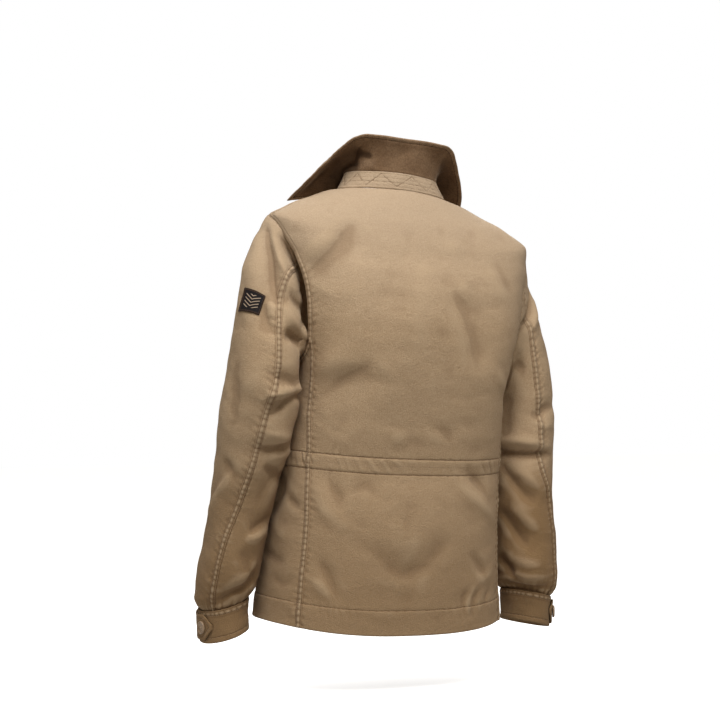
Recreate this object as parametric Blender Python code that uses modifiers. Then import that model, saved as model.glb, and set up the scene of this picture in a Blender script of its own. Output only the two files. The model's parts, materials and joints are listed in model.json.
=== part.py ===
"""Field jacket, worn and hollow, standing as it does on the shoulders that hold it up.

Frame: +Z up, the fronts face -Y and the back faces +Y, the wearer's left is +X.
The origin is the middle of the shoulder line, level with the neck ends of the shoulder seams.
Sizes are in millimetres and are turned to metres only when a mesh is made.
"""

import math

import bmesh
import bpy
import numpy as np
from mathutils import Matrix, Vector

MM = 0.001

# ---------------------------------------------------------------- driving sizes
CLOTH_WALL = 1.6
COLLAR_WALL = 2.4
CUFF_WALL = 2.4
STRAP_WALL = 2.4
PATCH_WALL = 1.2
SEAM_GAP = 0.3

HEM = -622.0
HEM_STITCH = HEM + 33.0
CASING_LOW = -403.0
CASING_TOP = -381.0
SIDE_SEAM_TOP = -225.0
ARMPIT_DROP = 30.0
UNDERARM_BLEND = -340.0
SHOULDER_POINT = -58.0
NECK = 0.0

STAND_HEIGHT = 24.0
STAND_LIFT = 1.3
LEAF_LIFT = 0.35
LEAF_STEEP_LIFT = 1.1
LEAF_STEEP_FROM = 60.0
LEAF_STEEP_TO = 120.0
CUFF_DEPTH = 45.0
CUFF_TOP_GAP = 1.2
CUFF_EDGE_ROW = 8.0
TAB_DEPTH = 36.0
TAB_MARGIN = 4.5
TAB_POINT = 14.0
TAB_TIP_WIDTH = 0.14
TAB_TIP_BEFORE_SEAM = 4.0
TAB_START = -75.0
TAB_OUT = (CUFF_WALL + STRAP_WALL) / 2 + SEAM_GAP + 0.3
CUFF_RADIUS = 38.0
CUFF_BUTTON_BEFORE_TIP = 26.0
BUTTON_DIAMETER = 19.0
BUTTON_THICKNESS = 3.2
BUTTON_EDGE = 0.8
BUTTON_SEAT = STRAP_WALL / 2 + SEAM_GAP + 0.15
FRONT_BUTTONS = (-172, -262, -352, -442, -532)
PLACKET_WIDTH = 56.0
PLACKET_TOP = -148.0
PLACKET_OUT = (CLOTH_WALL + STRAP_WALL) / 2 + SEAM_GAP
PATCH_WIDTH = 34.0
PATCH_HEIGHT = 31.0
PATCH_OUT = (CLOTH_WALL + PATCH_WALL) / 2 + SEAM_GAP + 0.8
PATCH_ROW = 3.1
PATCH_COLUMN = 1.75
PATCH_TURN = -14.0

SEAM_DRAW = SEAM_GAP / 2 + 0.03
SLEEVE_SEAM_DRAW = 0.4

BACK_COLUMNS = 20
UNDERARM_COLUMNS = 6
FRONT_COLUMNS = 10
COLLAR_COLUMNS = 32
LEAF_ROWS = 7
CUFF_COLUMNS = 28
TAB_COLUMNS = 10
HEAD_ROWS = 6
ARM_ROWS = 15

HEM_TO_SEAM_TOP = (
    HEM, HEM + 16, HEM_STITCH, -560, -532, -504, -476, -448, -424, CASING_LOW, CASING_TOP,
    -358, -334, -310, -286, -264, -244, SIDE_SEAM_TOP,
)
SEAM_TOP_TO_SHOULDER = (-205, -185, -165, -145, -123, -105, -90, -76, -65, SHOULDER_POINT)
SHOULDER_TO_NECK = (-46, -34, -22, -11, NECK)
PLACKET_UPPER = (-205, -185, -165, PLACKET_TOP)
BACK_SLEEVE_SEAM = -123.0
FRONT_SLEEVE_SEAM = -185.0

# Each row is a ring of the body, named by its height at the side. The back and the front of a ring
# rise or drop from there. Sway and lean move its middle towards +X and +Y, and roll tips it.
RING_COLUMNS = (
    "height", "half_width", "back_depth", "front_depth", "squareness",
    "back_rise", "front_rise", "sway", "lean", "roll",
)
RINGS = (
    (-622, 188, 140, 92, 2.5, -16, 18, 18, -44, 0.020),
    (-560, 182, 138, 92, 2.5, -12, 14, 17, -40, 0.025),
    (-500, 176, 134, 94, 2.5, -10, 10, 15, -34, 0.030),
    (-440, 171, 124, 96, 2.6, -8, 6, 12, -27, 0.040),
    (-392, 167, 113, 98, 2.7, -6, 4, 9, -20, 0.045),
    (-340, 162, 114, 104, 3.0, -4, 2, 7, -12, 0.055),
    (-290, 159, 118, 112, 3.2, -2, 0, 5, -7, 0.060),
    (-250, 163, 121, 118, 3.2, -2, -2, 3, -4, 0.070),
    (-200, 174, 121, 116, 3.0, -4, -6, 1, -1, 0.080),
    (-150, 184, 116, 106, 2.8, -8, -14, 0, 0, 0.088),
    (-110, 192, 108, 94, 2.7, -16, -28, 0, 0, 0.088),
    (-80, 200, 98, 84, 2.6, -24, -42, 0, 0, 0.088),
    (-58, 204, 90, 76, 2.5, -28, -52, 0, 0, 0.088),
    (-34, 173, 79, 71, 2.4, -19, -58, 1, -4, 0.088),
    (-18, 136, 67, 66, 2.3, -10, -64, 2, -8, 0.088),
    (-5, 105, 55, 61, 2.2, -1, -73, 3, -13, 0.088),
    (0, 84, 48, 58, 2.1, 4, -78, 4, -15, 0.088),
)

# The seam between the back and a front and the two sides of the armhole, as angles from the side
# of the body: plus is towards the back. The fronts lie open above the placket, a distance each
# from the middle.
SEAM_COLUMNS = ("height", "back_seam", "armhole_back", "armhole_front", "front_open")
SEAMS = (
    (-622, 32.5, 16.0, -22.5, 0),
    (-500, 30.5, 16.0, -22.5, 0),
    (-392, 25.0, 16.0, -22.5, 0),
    (-300, 15.0, 16.0, -22.5, 0),
    (-225, 16.0, 16.0, -22.5, 0),
    (-190, 16.0, 18.5, -25.0, 0),
    (-150, 16.0, 20.0, -23.0, 0),
    (-110, 16.0, 17.0, -18.0, 11),
    (-90, 16.0, 13.5, -13.5, 16),
    (-70, 16.0, 8.0, -8.0, 21),
    (-58, 16.0, 0.0, 0.0, 24),
    (-34, 16.0, 0.0, 0.0, 31),
    (-18, 16.0, 0.0, 0.0, 36),
    (-5, 16.0, 0.0, 0.0, 42),
    (0, 16.0, 0.0, 0.0, 49),
)

# The rings of a sleeve below its head. Across is how far the middle is from the body's centre
# plane and along is how far it is towards the back. The outer and the back side rise or drop.
ARM_COLUMNS = (
    "height", "across", "along", "half_width", "half_depth", "outer_rise", "back_rise",
)
LEFT_ARM = (
    (-290, 219, 4, 50, 64, 22, 2),
    (-330, 224, -6, 51, 63, 15, 2),
    (-390, 228, -22, 47, 60, 8, 2),
    (-443, 232, -38, 44, 57, 2, 4),
    (-500, 239, -50, 44, 55, -3, 6),
    (-543, 245, -56, 45, 55, -6, 6),
    (-578, 247, -66, 44, 53, -9, 3),
    (-597, 249, -71, 34, 46, -11, 0),
    (-642, 248, -70, 33, 44, -11, 0),
)
RIGHT_ARM = (
    (-300, 208, -14, 50, 64, 22, 2),
    (-340, 210, -12, 51, 62, 15, 2),
    (-400, 210, -9, 48, 60, 8, 2),
    (-455, 210, -5, 45, 57, 2, 3),
    (-510, 215, -3, 45, 55, -3, 4),
    (-555, 217, -4, 46, 55, -6, 4),
    (-582, 219, -7, 45, 54, -7, 4),
    (-599, 221, -9, 35, 46, -8, 3),
    (-643, 224, -16, 33, 44, -8, 3),
)

# How far round the sleeve its two seams lie, from the outer side towards the back.
SLEEVE_SEAM_COLUMNS = ("below_head", "left_back", "right_back", "front")
SLEEVE_SEAMS = (
    (0, 85, 92, -125),
    (100, 74, 88, -122),
    (160, 63, 66, -118),
    (230, 49, 62, -114),
    (345, 38, 62, -110),
)

# The collar's turned-up leaf, by the turn from the middle of the back. The control lifts the leaf
# off the stand before it rolls to its free edge, whose place is given.
LEAF_COLUMNS = ("turn", "control_out", "control_up", "edge_across", "edge_along", "edge_up")
LEAF = (
    (0, 0, 28, 0, 36, 80),
    (25, 0, 28, 33, 38, 80),
    (45, 0, 30, 62, 37, 79),
    (62, 2, 33, 80, 29, 73),
    (78, 6, 34, 93, 15, 60),
    (95, 10, 32, 109, -4, 38),
    (115, 14, 29, 127, -33, 11),
    (144, 18, 24, 141, -77, -18),
)
STAND_COLUMNS = ("turn", "lean_in")
STAND = ((0, 4), (45, 8), (80, 14), (110, 10), (144, 5))

# The largest folds. A place is an angle round the piece and a height, and plus stands proud.
FOLD_COLUMNS = ("piece", "from_angle", "from_height", "to_angle", "to_height", "width", "push")
FOLDS = (
    ("body", 150, -95, 134, -205, 22, -5.0),
    ("body", 62, -120, 48, -230, 24, -3.5),
    ("body", 58, -415, 74, -500, 26, -3.5),
    ("body", 122, -415, 140, -530, 20, 3.0),
    ("body", 34, -300, 12, -240, 20, -4.0),
    ("body", 146, -300, 168, -240, 20, -4.0),
    ("body", -38, -250, -60, -330, 24, -3.5),
    ("body", -142, -250, -120, -330, 24, -3.5),
    ("left", 22, -150, 52, -260, 13, -4.5),
    ("left", 88, -240, 40, -262, 15, -4.0),
    ("left", 110, -375, 56, -395, 12, -4.5),
    ("left", 100, -398, 40, -372, 12, 3.5),
    ("left", -40, -330, -110, -372, 16, -4.0),
    ("left", -60, -400, -130, -430, 14, -4.0),
    ("right", 110, -378, 30, -384, 11, -5.0),
    ("right", 100, -350, 30, -352, 15, 3.5),
    ("right", 120, -418, 50, -470, 14, -4.0),
    ("right", 40, -500, 120, -560, 14, -3.5),
    ("right", -50, -330, -120, -372, 16, -4.0),
    ("right", -60, -410, -130, -440, 14, -4.0),
)
BODY_RADIUS = 150.0
SLEEVE_RADIUS = 55.0

CLOTH_COLOUR = (0.40, 0.29, 0.195, 1.0)
COLLAR_COLOUR = (0.115, 0.065, 0.037, 1.0)
BUTTON_COLOUR = (0.30, 0.205, 0.13, 1.0)
PATCH_COLOUR = (0.028, 0.020, 0.018, 1.0)


# ---------------------------------------------------------------- tables and curves
def table(columns, rows):
    """A table of rows as one array for each named column."""
    return {name: np.array(values) for name, values in zip(columns, zip(*rows))}


RING = table(RING_COLUMNS, RINGS)
SEAM = table(SEAM_COLUMNS, SEAMS)
ARM = {"left": table(ARM_COLUMNS, LEFT_ARM), "right": table(ARM_COLUMNS, RIGHT_ARM)}
SLEEVE_SEAM = table(SLEEVE_SEAM_COLUMNS, SLEEVE_SEAMS)
LEAF_ROW = table(LEAF_COLUMNS, LEAF)
STAND_ROW = table(STAND_COLUMNS, STAND)
FOLD = [dict(zip(FOLD_COLUMNS, row)) for row in FOLDS]
SIDE = {"left": 1.0, "right": -1.0}


def read(source, name, at):
    """Column `name` of a table at any places of its first column, smooth and never overshooting."""
    knots, values = list(source.values())[0].astype(float), source[name].astype(float)
    if knots[0] > knots[-1]:
        knots, values = knots[::-1], values[::-1]
    step = np.diff(knots)
    slope = np.diff(values) / step
    before, after = slope[:-1], slope[1:]
    same_way = before * after > 0
    inner = np.where(same_way, 2 * before * after / np.where(same_way, before + after, 1.0), 0.0)
    tangent = np.concatenate([[slope[0]], inner, [slope[-1]]])
    at = np.clip(np.asarray(at, float), knots[0], knots[-1])
    k = np.clip(np.searchsorted(knots, at, side="right") - 1, 0, len(step) - 1)
    t = (at - knots[k]) / step[k]
    return (
        values[k] * (1 + 2 * t) * (1 - t) ** 2
        + tangent[k] * step[k] * t * (1 - t) ** 2
        + values[k + 1] * t * t * (3 - 2 * t)
        + tangent[k + 1] * step[k] * t * t * (t - 1)
    )


def signed_power(value, power):
    return np.sign(value) * np.abs(value) ** power


def fold_push(piece, angle, height, radius):
    """How far the folds of a piece push its cloth out at an angle and a height."""
    push = np.zeros(np.broadcast(angle, height).shape)
    for fold in FOLD:
        if fold["piece"] != piece:
            continue
        start = np.array([math.radians(fold["from_angle"]) * radius, fold["from_height"]])
        run = np.array([math.radians(fold["to_angle"]) * radius, fold["to_height"]]) - start
        round_it = np.radians(angle) * radius - start[0]
        up = height - start[1]
        share = np.clip((round_it * run[0] + up * run[1]) / (run @ run), 0, 1)
        away = np.hypot(round_it - share * run[0], up - share * run[1])
        push = push + fold["push"] * np.exp(-((away / fold["width"]) ** 2))
    return push


# ---------------------------------------------------------------- the body's surface
def body(angle, height, out=0.0):
    """The middle of the body's cloth. 0 degrees is the left side, 90 the back, 180 the right."""
    angle, height = np.broadcast_arrays(np.asarray(angle, float), np.asarray(height, float))
    across, along = np.cos(np.radians(angle)), np.sin(np.radians(angle))
    power = 2 / read(RING, "squareness", height)
    is_back = along > 0
    depth = np.where(is_back, read(RING, "back_depth", height), read(RING, "front_depth", height))
    rise = np.where(is_back, read(RING, "back_rise", height), read(RING, "front_rise", height))
    x = read(RING, "half_width", height) * signed_power(across, power)
    y = depth * signed_power(along, power)
    turned = np.where(angle < -180, angle + 360, np.where(angle > 180, angle - 360, angle))
    share = 1 + (out + fold_push("body", turned, height, BODY_RADIUS)) / np.hypot(x, y)
    x, y = x * share + read(RING, "sway", height), y * share + read(RING, "lean", height)
    return np.stack([x, y, height + rise * along**2 + read(RING, "roll", height) * x], axis=-1)


def front_angle(across, height):
    """The angle at which a ring's front is a distance across from its middle."""
    share = across / read(RING, "half_width", height)
    reach = signed_power(share, read(RING, "squareness", height) / 2)
    return np.degrees(np.arcsin(reach)) - 90


def side_angle(side, angle):
    """An angle from one side of the body, as an angle round the whole of it."""
    return angle if side == "left" else 180 - angle


def under_armhole(share, height):
    """Lowers the rows under the armhole, so that the top one dips to the armpit."""
    dip = ARMPIT_DROP * np.sin(np.pi * share)
    span = SIDE_SEAM_TOP - UNDERARM_BLEND
    above = np.clip((height - UNDERARM_BLEND) / span, 0, 1)
    return height - dip * above


def armhole(side):
    """The points of an armhole, from the shoulder down its back, under the arm and up its front."""
    heights = np.array(SEAM_TOP_TO_SHOULDER[::-1] + (SIDE_SEAM_TOP,), float)
    share = np.linspace(0, 1, UNDERARM_COLUMNS + 1)[1:-1]
    ends = read(SEAM, "armhole_back", SIDE_SEAM_TOP), read(SEAM, "armhole_front", SIDE_SEAM_TOP)
    under = ends[0] + share * (ends[1] - ends[0])
    angles = np.concatenate([
        read(SEAM, "armhole_back", heights),
        under,
        read(SEAM, "armhole_front", heights)[::-1],
    ])
    levels = np.concatenate([
        heights,
        under_armhole(share, np.full(len(share), SIDE_SEAM_TOP)),
        heights[::-1],
    ])[:-1]
    return body(side_angle(side, angles[:-1]), levels)


# ---------------------------------------------------------------- the sleeves' surface
# A sleeve's columns start at the points of its armhole, and its two seams start at two of them.
# It leaves the armhole outwards and down, each given for the shoulder and for under the arm.
ARMHOLE_BACK_STEPS = SEAM_TOP_TO_SHOULDER[::-1].index(BACK_SLEEVE_SEAM)
ARMHOLE_FRONT_STEPS = SEAM_TOP_TO_SHOULDER[::-1].index(FRONT_SLEEVE_SEAM)
ARMHOLE_POINTS = 2 * len(SEAM_TOP_TO_SHOULDER) + UNDERARM_COLUMNS
LAST_UNDER = ARMHOLE_POINTS - ARMHOLE_FRONT_STEPS
SLEEVE_START_OUT = {"left": (0.70, -0.71), "right": (0.16, -0.99), "under": (0.97, -0.25)}
SLEEVE_START_GAP = {"top": 1.2, "bottom": 2.6}


def sleeve_columns(side, height):
    """The angle round the sleeve of each column: the back seam and the front seam are two of them."""
    below = ARM[side]["height"][0] - np.asarray(height, float)
    back = read(SLEEVE_SEAM, side + "_back", below)
    front = read(SLEEVE_SEAM, "front", below) + 360
    steps = np.arange(ARMHOLE_POINTS)[:, None]
    past_back = (steps - ARMHOLE_BACK_STEPS) / (LAST_UNDER - ARMHOLE_BACK_STEPS)
    upper = back * steps / ARMHOLE_BACK_STEPS
    under = back + (front - back) * past_back
    rest = front + (360 - front) * (steps - LAST_UNDER) / ARMHOLE_FRONT_STEPS
    columns = np.where(steps <= ARMHOLE_BACK_STEPS, upper, np.where(steps <= LAST_UNDER, under, rest))
    return columns.T


def arm(side, angle, height, out=0.0):
    """The middle of a sleeve's cloth below its head. 0 degrees is the outer side, 90 the back."""
    rows, sign = ARM[side], SIDE[side]
    across, along = np.cos(np.radians(angle)), np.sin(np.radians(angle))
    turned = np.where(angle > 180, angle - 360, angle)
    width, depth = read(rows, "half_width", height), read(rows, "half_depth", height)
    push = out + fold_push(side, turned, height, SLEEVE_RADIUS)
    push = push / np.hypot(depth * across, width * along)
    x = read(rows, "across", height) + (width + push * depth) * across
    y = read(rows, "along", height) + (depth + push * width) * along
    z = height + read(rows, "outer_rise", height) * across + read(rows, "back_rise", height) * along
    return np.stack([sign * x, y, z], axis=-1)


def sleeve_grid(side):
    """Rows from the armhole down to the cuff, each with a point for every point of the armhole."""
    rows, sign = ARM[side], SIDE[side]
    start = armhole(side)
    top, end = rows["height"][0], rows["height"][-2]
    heights = np.linspace(top, end, ARM_ROWS)[:, None]
    lower = arm(side, sleeve_columns(side, heights[:, 0]), heights)

    lowest = start[:, 2].min()
    bottom = ((start[:, 2].max() - start[:, 2]) / (start[:, 2].max() - lowest)) ** 3
    over, under = np.array(SLEEVE_START_OUT[side]), np.array(SLEEVE_START_OUT["under"])
    heading = over + np.outer(bottom, under - over)
    leave = np.stack([sign * heading[:, 0], 0 * bottom, heading[:, 1]], axis=-1)
    gap = SLEEVE_START_GAP["top"] + bottom * (SLEEVE_START_GAP["bottom"] - SLEEVE_START_GAP["top"])
    begin = start + leave * gap[:, None]
    reach = np.linalg.norm(lower[0] - begin, axis=1)[:, None]
    arrive = lower[1] - lower[0]
    arrive /= np.linalg.norm(arrive, axis=1)[:, None]
    head = []
    for t in np.linspace(0, 1, HEAD_ROWS + 1)[:-1]:
        head.append(
            begin * (1 + 2 * t) * (1 - t) ** 2
            + leave * reach * t * (1 - t) ** 2
            + lower[0] * t * t * (3 - 2 * t)
            + arrive * reach * t * t * (t - 1)
        )
    return np.concatenate([np.array(head), lower])


# ---------------------------------------------------------------- meshes
def material(name, colour, roughness):
    found = bpy.data.materials.get(name)
    if found:
        return found
    made = bpy.data.materials.new(name)
    made.use_nodes = True
    surface = made.node_tree.nodes["Principled BSDF"]
    surface.inputs["Base Color"].default_value = colour
    surface.inputs["Roughness"].default_value = roughness
    made.diffuse_color = colour
    return made


def finish(name, mesh, colour, roughness=0.85):
    piece = bpy.data.objects.new(name, mesh)
    COLLECTION.objects.link(piece)
    mesh.materials.append(material(name, colour, roughness))
    mesh.shade_smooth()
    return piece


def cloth(name, grid, wall, colour, closed=False, extra=None):
    """A wall of cloth whose middle runs through a grid of points, and through an extra grid whose
    first row is shared with the last row of the first."""
    mesh = bmesh.new()

    def skin(points, first=None, wrap=False):
        rows = [] if first is None else [first]
        for line in points[len(rows):]:
            rows.append([mesh.verts.new(Vector(point) * MM) for point in line])
        for low, high in zip(rows, rows[1:]):
            count = len(low)
            for j in range(count if wrap else count - 1):
                k = (j + 1) % count
                mesh.faces.new((low[j], low[k], high[k], high[j]))
        return rows

    rows = skin(grid, wrap=closed)
    if extra is not None:
        skin(extra, first=rows[-1][-extra.shape[1]:])
    bmesh.ops.recalc_face_normals(mesh, faces=mesh.faces)
    data = bpy.data.meshes.new(name)
    mesh.to_mesh(data)
    mesh.free()
    piece = finish(name, data, colour)
    thicken = piece.modifiers.new("Wall", "SOLIDIFY")
    thicken.thickness = wall * MM
    thicken.offset = 0.0
    return piece


def draw_in(grid, sides, amount=SEAM_DRAW):
    """Moves the chosen edges of a grid inwards along the cloth, to leave the gap of a seam."""
    grid = grid.copy()
    for side in sides:
        edge, inner = {
            "left": (np.s_[:, 0], np.s_[:, 1]),
            "right": (np.s_[:, -1], np.s_[:, -2]),
            "bottom": (np.s_[0], np.s_[1]),
            "top": (np.s_[-1], np.s_[-2]),
        }[side]
        step = grid[inner] - grid[edge]
        grid[edge] += amount * step / np.linalg.norm(step, axis=-1, keepdims=True)
    return grid


# ---------------------------------------------------------------- body pieces
def make_back():
    low = np.array(HEM_TO_SEAM_TOP)
    high = np.array(SEAM_TOP_TO_SHOULDER + SHOULDER_TO_NECK)
    left = np.concatenate([read(SEAM, "back_seam", low), read(SEAM, "armhole_back", high)])
    heights = np.concatenate([low, high])[:, None]
    share = np.linspace(0, 1, BACK_COLUMNS + 1)
    angles = left[:, None] + share * (180 - 2 * left[:, None])
    cloth("back", draw_in(body(angles, heights), ("left", "right")), CLOTH_WALL, CLOTH_COLOUR)


def make_front(side):
    low = np.array(HEM_TO_SEAM_TOP)[:, None]
    high = np.array((SIDE_SEAM_TOP,) + SEAM_TOP_TO_SHOULDER + SHOULDER_TO_NECK)[:, None]
    seam, armhole_edge = read(SEAM, "back_seam", low), read(SEAM, "armhole_front", low)
    share = np.linspace(0, 1, UNDERARM_COLUMNS + 1)
    under_angles = seam + share[:-1] * (armhole_edge - seam)
    under_heights = under_armhole(share[:-1], low)
    across = np.linspace(0, 1, FRONT_COLUMNS + 1)

    def front_angles(heights):
        inner = read(SEAM, "armhole_front", heights)
        edge = front_angle(read(SEAM, "front_open", heights), heights)
        return inner + across * (edge - inner)

    angles = np.concatenate([under_angles, front_angles(low)], axis=1)
    heights = np.concatenate([under_heights, low + 0 * across], axis=1)
    lower = draw_in(body(side_angle(side, angles), heights), ("left", "right"))
    upper = draw_in(body(side_angle(side, front_angles(high)), high), ("left", "right"))
    cloth("front_" + side, lower, CLOTH_WALL, CLOTH_COLOUR, extra=upper)


def front_middle(across, height, out):
    """A point of the front's outer side, a distance across from its middle."""
    return body(front_angle(across, height), height, out)


def make_placket():
    heights = np.array(HEM_TO_SEAM_TOP + PLACKET_UPPER)[:, None]
    across = np.linspace(-PLACKET_WIDTH / 2, PLACKET_WIDTH / 2, 5)
    grid = front_middle(across, heights, PLACKET_OUT)
    cloth("placket", grid, STRAP_WALL, CLOTH_COLOUR)


# ---------------------------------------------------------------- sleeves and cuffs
def make_sleeve(side):
    grid = sleeve_grid(side)
    under = grid[:, ARMHOLE_BACK_STEPS:LAST_UNDER + 1]
    upper = np.concatenate([grid[:, LAST_UNDER:], grid[:, :ARMHOLE_BACK_STEPS + 1]], axis=1)
    for name, piece in (("upper", upper), ("under", under)):
        trimmed = draw_in(piece, ("left", "right"), SLEEVE_SEAM_DRAW)
        cloth(f"sleeve_{side}_{name}", trimmed, CLOTH_WALL, CLOTH_COLOUR)


def cuff_point(side, angle, down, out=0.0):
    """A point on a cuff, a distance below its top edge."""
    return arm(side, angle, ARM[side]["height"][-2] - down, out)


def make_cuff(side):
    angles = np.linspace(0, 360, CUFF_COLUMNS + 1)[:-1]
    rows = (CUFF_TOP_GAP, CUFF_EDGE_ROW, CUFF_DEPTH - CUFF_EDGE_ROW, CUFF_DEPTH)
    down = np.array(rows)[:, None]
    cloth("cuff_" + side, cuff_point(side, angles, down), CUFF_WALL, CLOTH_COLOUR, closed=True)


def tab_tip(side):
    """The angle of the tab's point, just before the sleeve's back seam."""
    below = ARM[side]["height"][0] - ARM[side]["height"][-2]
    return float(read(SLEEVE_SEAM, side + "_back", below)) - TAB_TIP_BEFORE_SEAM


def make_tab(side):
    """A strap round the outer side of the cuff, with a point towards the back."""
    tip = tab_tip(side)
    point_angle = math.degrees(TAB_POINT / CUFF_RADIUS)
    square_end = tip - point_angle
    strap = np.linspace(TAB_START, square_end, TAB_COLUMNS + 1)
    runs = np.concatenate([strap, [tip - point_angle / 2, tip]])
    share = np.linspace(-1, 1, 5)
    pointed = TAB_TIP_WIDTH + (1 - TAB_TIP_WIDTH) * (tip - runs) / point_angle
    narrow = np.where(runs <= square_end, 1.0, pointed)
    down = TAB_MARGIN + TAB_DEPTH / 2 + share[:, None] * narrow * TAB_DEPTH / 2
    grid = cuff_point(side, runs + 0 * down, down, TAB_OUT)
    cloth("cuff_tab_" + side, grid, STRAP_WALL, CLOTH_COLOUR)


def disc(name, centre, facing, colour):
    """A round button whose back is at the centre point."""
    mesh = bmesh.new()
    bmesh.ops.create_cone(
        mesh, cap_ends=True, segments=24, radius1=BUTTON_DIAMETER / 2 * MM,
        radius2=BUTTON_DIAMETER / 2 * MM, depth=BUTTON_THICKNESS * MM,
        matrix=Matrix.Translation((0, 0, BUTTON_THICKNESS / 2 * MM)),
    )
    data = bpy.data.meshes.new(name)
    mesh.to_mesh(data)
    mesh.free()
    piece = finish(name, data, colour, 0.45)
    rim = piece.modifiers.new("Rim", "BEVEL")
    rim.width = BUTTON_EDGE * MM
    rim.segments = 2
    piece.location = Vector(centre) * MM
    piece.rotation_euler = Vector(facing).to_track_quat("Z", "Y").to_euler()


def make_buttons():
    down = TAB_MARGIN + TAB_DEPTH / 2
    for side in ("left", "right"):
        angle = tab_tip(side) - CUFF_BUTTON_BEFORE_TIP
        facing = cuff_point(side, angle, down, TAB_OUT + 1) - cuff_point(side, angle, down, TAB_OUT)
        facing /= np.linalg.norm(facing)
        centre = cuff_point(side, angle, down, TAB_OUT) + BUTTON_SEAT * facing
        disc("cuff_button_" + side, centre, facing, BUTTON_COLOUR)
    for number, height in enumerate(FRONT_BUTTONS, start=1):
        above = front_middle(0.0, height + 10, PLACKET_OUT)
        below = front_middle(0.0, height - 10, PLACKET_OUT)
        facing = np.cross(above - below, [-1.0, 0.0, 0.0])
        facing /= np.linalg.norm(facing)
        centre = front_middle(0.0, height, PLACKET_OUT) + BUTTON_SEAT * facing
        disc(f"front_button_{number}", centre, facing, BUTTON_COLOUR)


# ---------------------------------------------------------------- collar
def collar_turns():
    end = LEAF_ROW["turn"][-1]
    return np.linspace(-end, end, COLLAR_COLUMNS + 1)


def stand_base(turn):
    point = body(90 - turn, NECK)
    point[..., 2] += STAND_LIFT
    return point


def stand_top(turn):
    """The stand rises from the neck edge and leans in towards the neck."""
    base = stand_base(turn)
    middle = np.array([read(RING, "sway", NECK), read(RING, "lean", NECK)])
    inward = middle - base[..., :2]
    inward /= np.linalg.norm(inward, axis=-1, keepdims=True)
    base[..., :2] += inward * read(STAND_ROW, "lean_in", np.abs(turn))[..., None]
    base[..., 2] += STAND_HEIGHT
    return base


def leaf(turn, share):
    """From the top of the stand, share 0, up and over to the free edge, share 1."""
    root = stand_top(turn)
    size = np.abs(turn)
    lean_in = read(STAND_ROW, "lean_in", size)
    rolls_out, rolls_up = read(LEAF_ROW, "control_out", size), read(LEAF_ROW, "control_up", size)
    bend = lean_in / np.hypot(lean_in, STAND_HEIGHT) + rolls_out / np.hypot(rolls_out, rolls_up)
    steep = np.clip((size - LEAF_STEEP_FROM) / (LEAF_STEEP_TO - LEAF_STEEP_FROM), 0, 1)
    root[..., 2] += SEAM_GAP + bend * COLLAR_WALL / 2 + LEAF_LIFT + LEAF_STEEP_LIFT * steep
    middle = np.array([read(RING, "sway", NECK), read(RING, "lean", NECK)])
    out = root[..., :2] - middle
    out /= np.linalg.norm(out, axis=-1, keepdims=True)
    control = root.copy()
    control[..., :2] += out * rolls_out[..., None]
    control[..., 2] += rolls_up
    across = np.sign(turn) * read(LEAF_ROW, "edge_across", size)
    tip = np.stack([
        across + middle[0],
        read(LEAF_ROW, "edge_along", size),
        read(LEAF_ROW, "edge_up", size) + read(RING, "roll", NECK) * across,
    ], axis=-1)
    share = np.asarray(share)[..., None]
    return root * (1 - share) ** 2 + control * 2 * share * (1 - share) + tip * share**2


def make_collar():
    turns = collar_turns()
    rows = np.linspace(0, 1, 3)[:, None, None]
    base, top = stand_base(turns), stand_top(turns)
    cloth("collar_stand", base + rows * (top - base), COLLAR_WALL, CLOTH_COLOUR)
    shares = np.linspace(0, 1, LEAF_ROWS + 1)
    grid = np.array([leaf(turns, np.full(len(turns), share)) for share in shares])
    cloth("collar_leaf", grid, COLLAR_WALL, COLLAR_COLOUR)


# ---------------------------------------------------------------- sleeve patch
def make_patch():
    """A small patch lying on the outer back of the left upper sleeve, made from its points."""
    grid = sleeve_grid("left")

    def surface(row, column):
        i, j = int(row), int(column)
        a, b = row - i, column - j
        return (
            grid[i, j] * (1 - a) * (1 - b) + grid[i, j + 1] * (1 - a) * b
            + grid[i + 1, j] * a * (1 - b) + grid[i + 1, j + 1] * a * b
        )

    centre = surface(PATCH_ROW, PATCH_COLUMN)
    column = surface(PATCH_ROW, PATCH_COLUMN + 0.5) - surface(PATCH_ROW, PATCH_COLUMN - 0.5)
    row = surface(PATCH_ROW + 0.5, PATCH_COLUMN) - surface(PATCH_ROW - 0.5, PATCH_COLUMN)
    facing = np.cross(row, column)
    facing /= np.linalg.norm(facing)
    level = column / np.linalg.norm(column)
    turn = math.radians(PATCH_TURN)
    across = math.cos(turn) * level - math.sin(turn) * np.cross(facing, level)
    down = np.cross(across, facing)
    frame = np.linalg.pinv(np.stack([row, column], axis=1))
    points = []
    for y in np.linspace(-0.5, 0.5, 5) * PATCH_HEIGHT:
        steps = [frame @ (x * across + y * down) for x in np.linspace(-0.5, 0.5, 5) * PATCH_WIDTH]
        points.append([surface(PATCH_ROW + r, PATCH_COLUMN + c) for r, c in steps])
    cloth("sleeve_patch", np.array(points) + PATCH_OUT * facing, PATCH_WALL, PATCH_COLOUR)


# ---------------------------------------------------------------- the jacket
for item in list(bpy.data.objects):
    bpy.data.objects.remove(item, do_unlink=True)
COLLECTION = bpy.data.collections.new("field_jacket")
bpy.context.scene.collection.children.link(COLLECTION)

make_back()
make_placket()
for each_side in ("left", "right"):
    make_front(each_side)
    make_sleeve(each_side)
    make_cuff(each_side)
    make_tab(each_side)
make_collar()
make_patch()
make_buttons()
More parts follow.
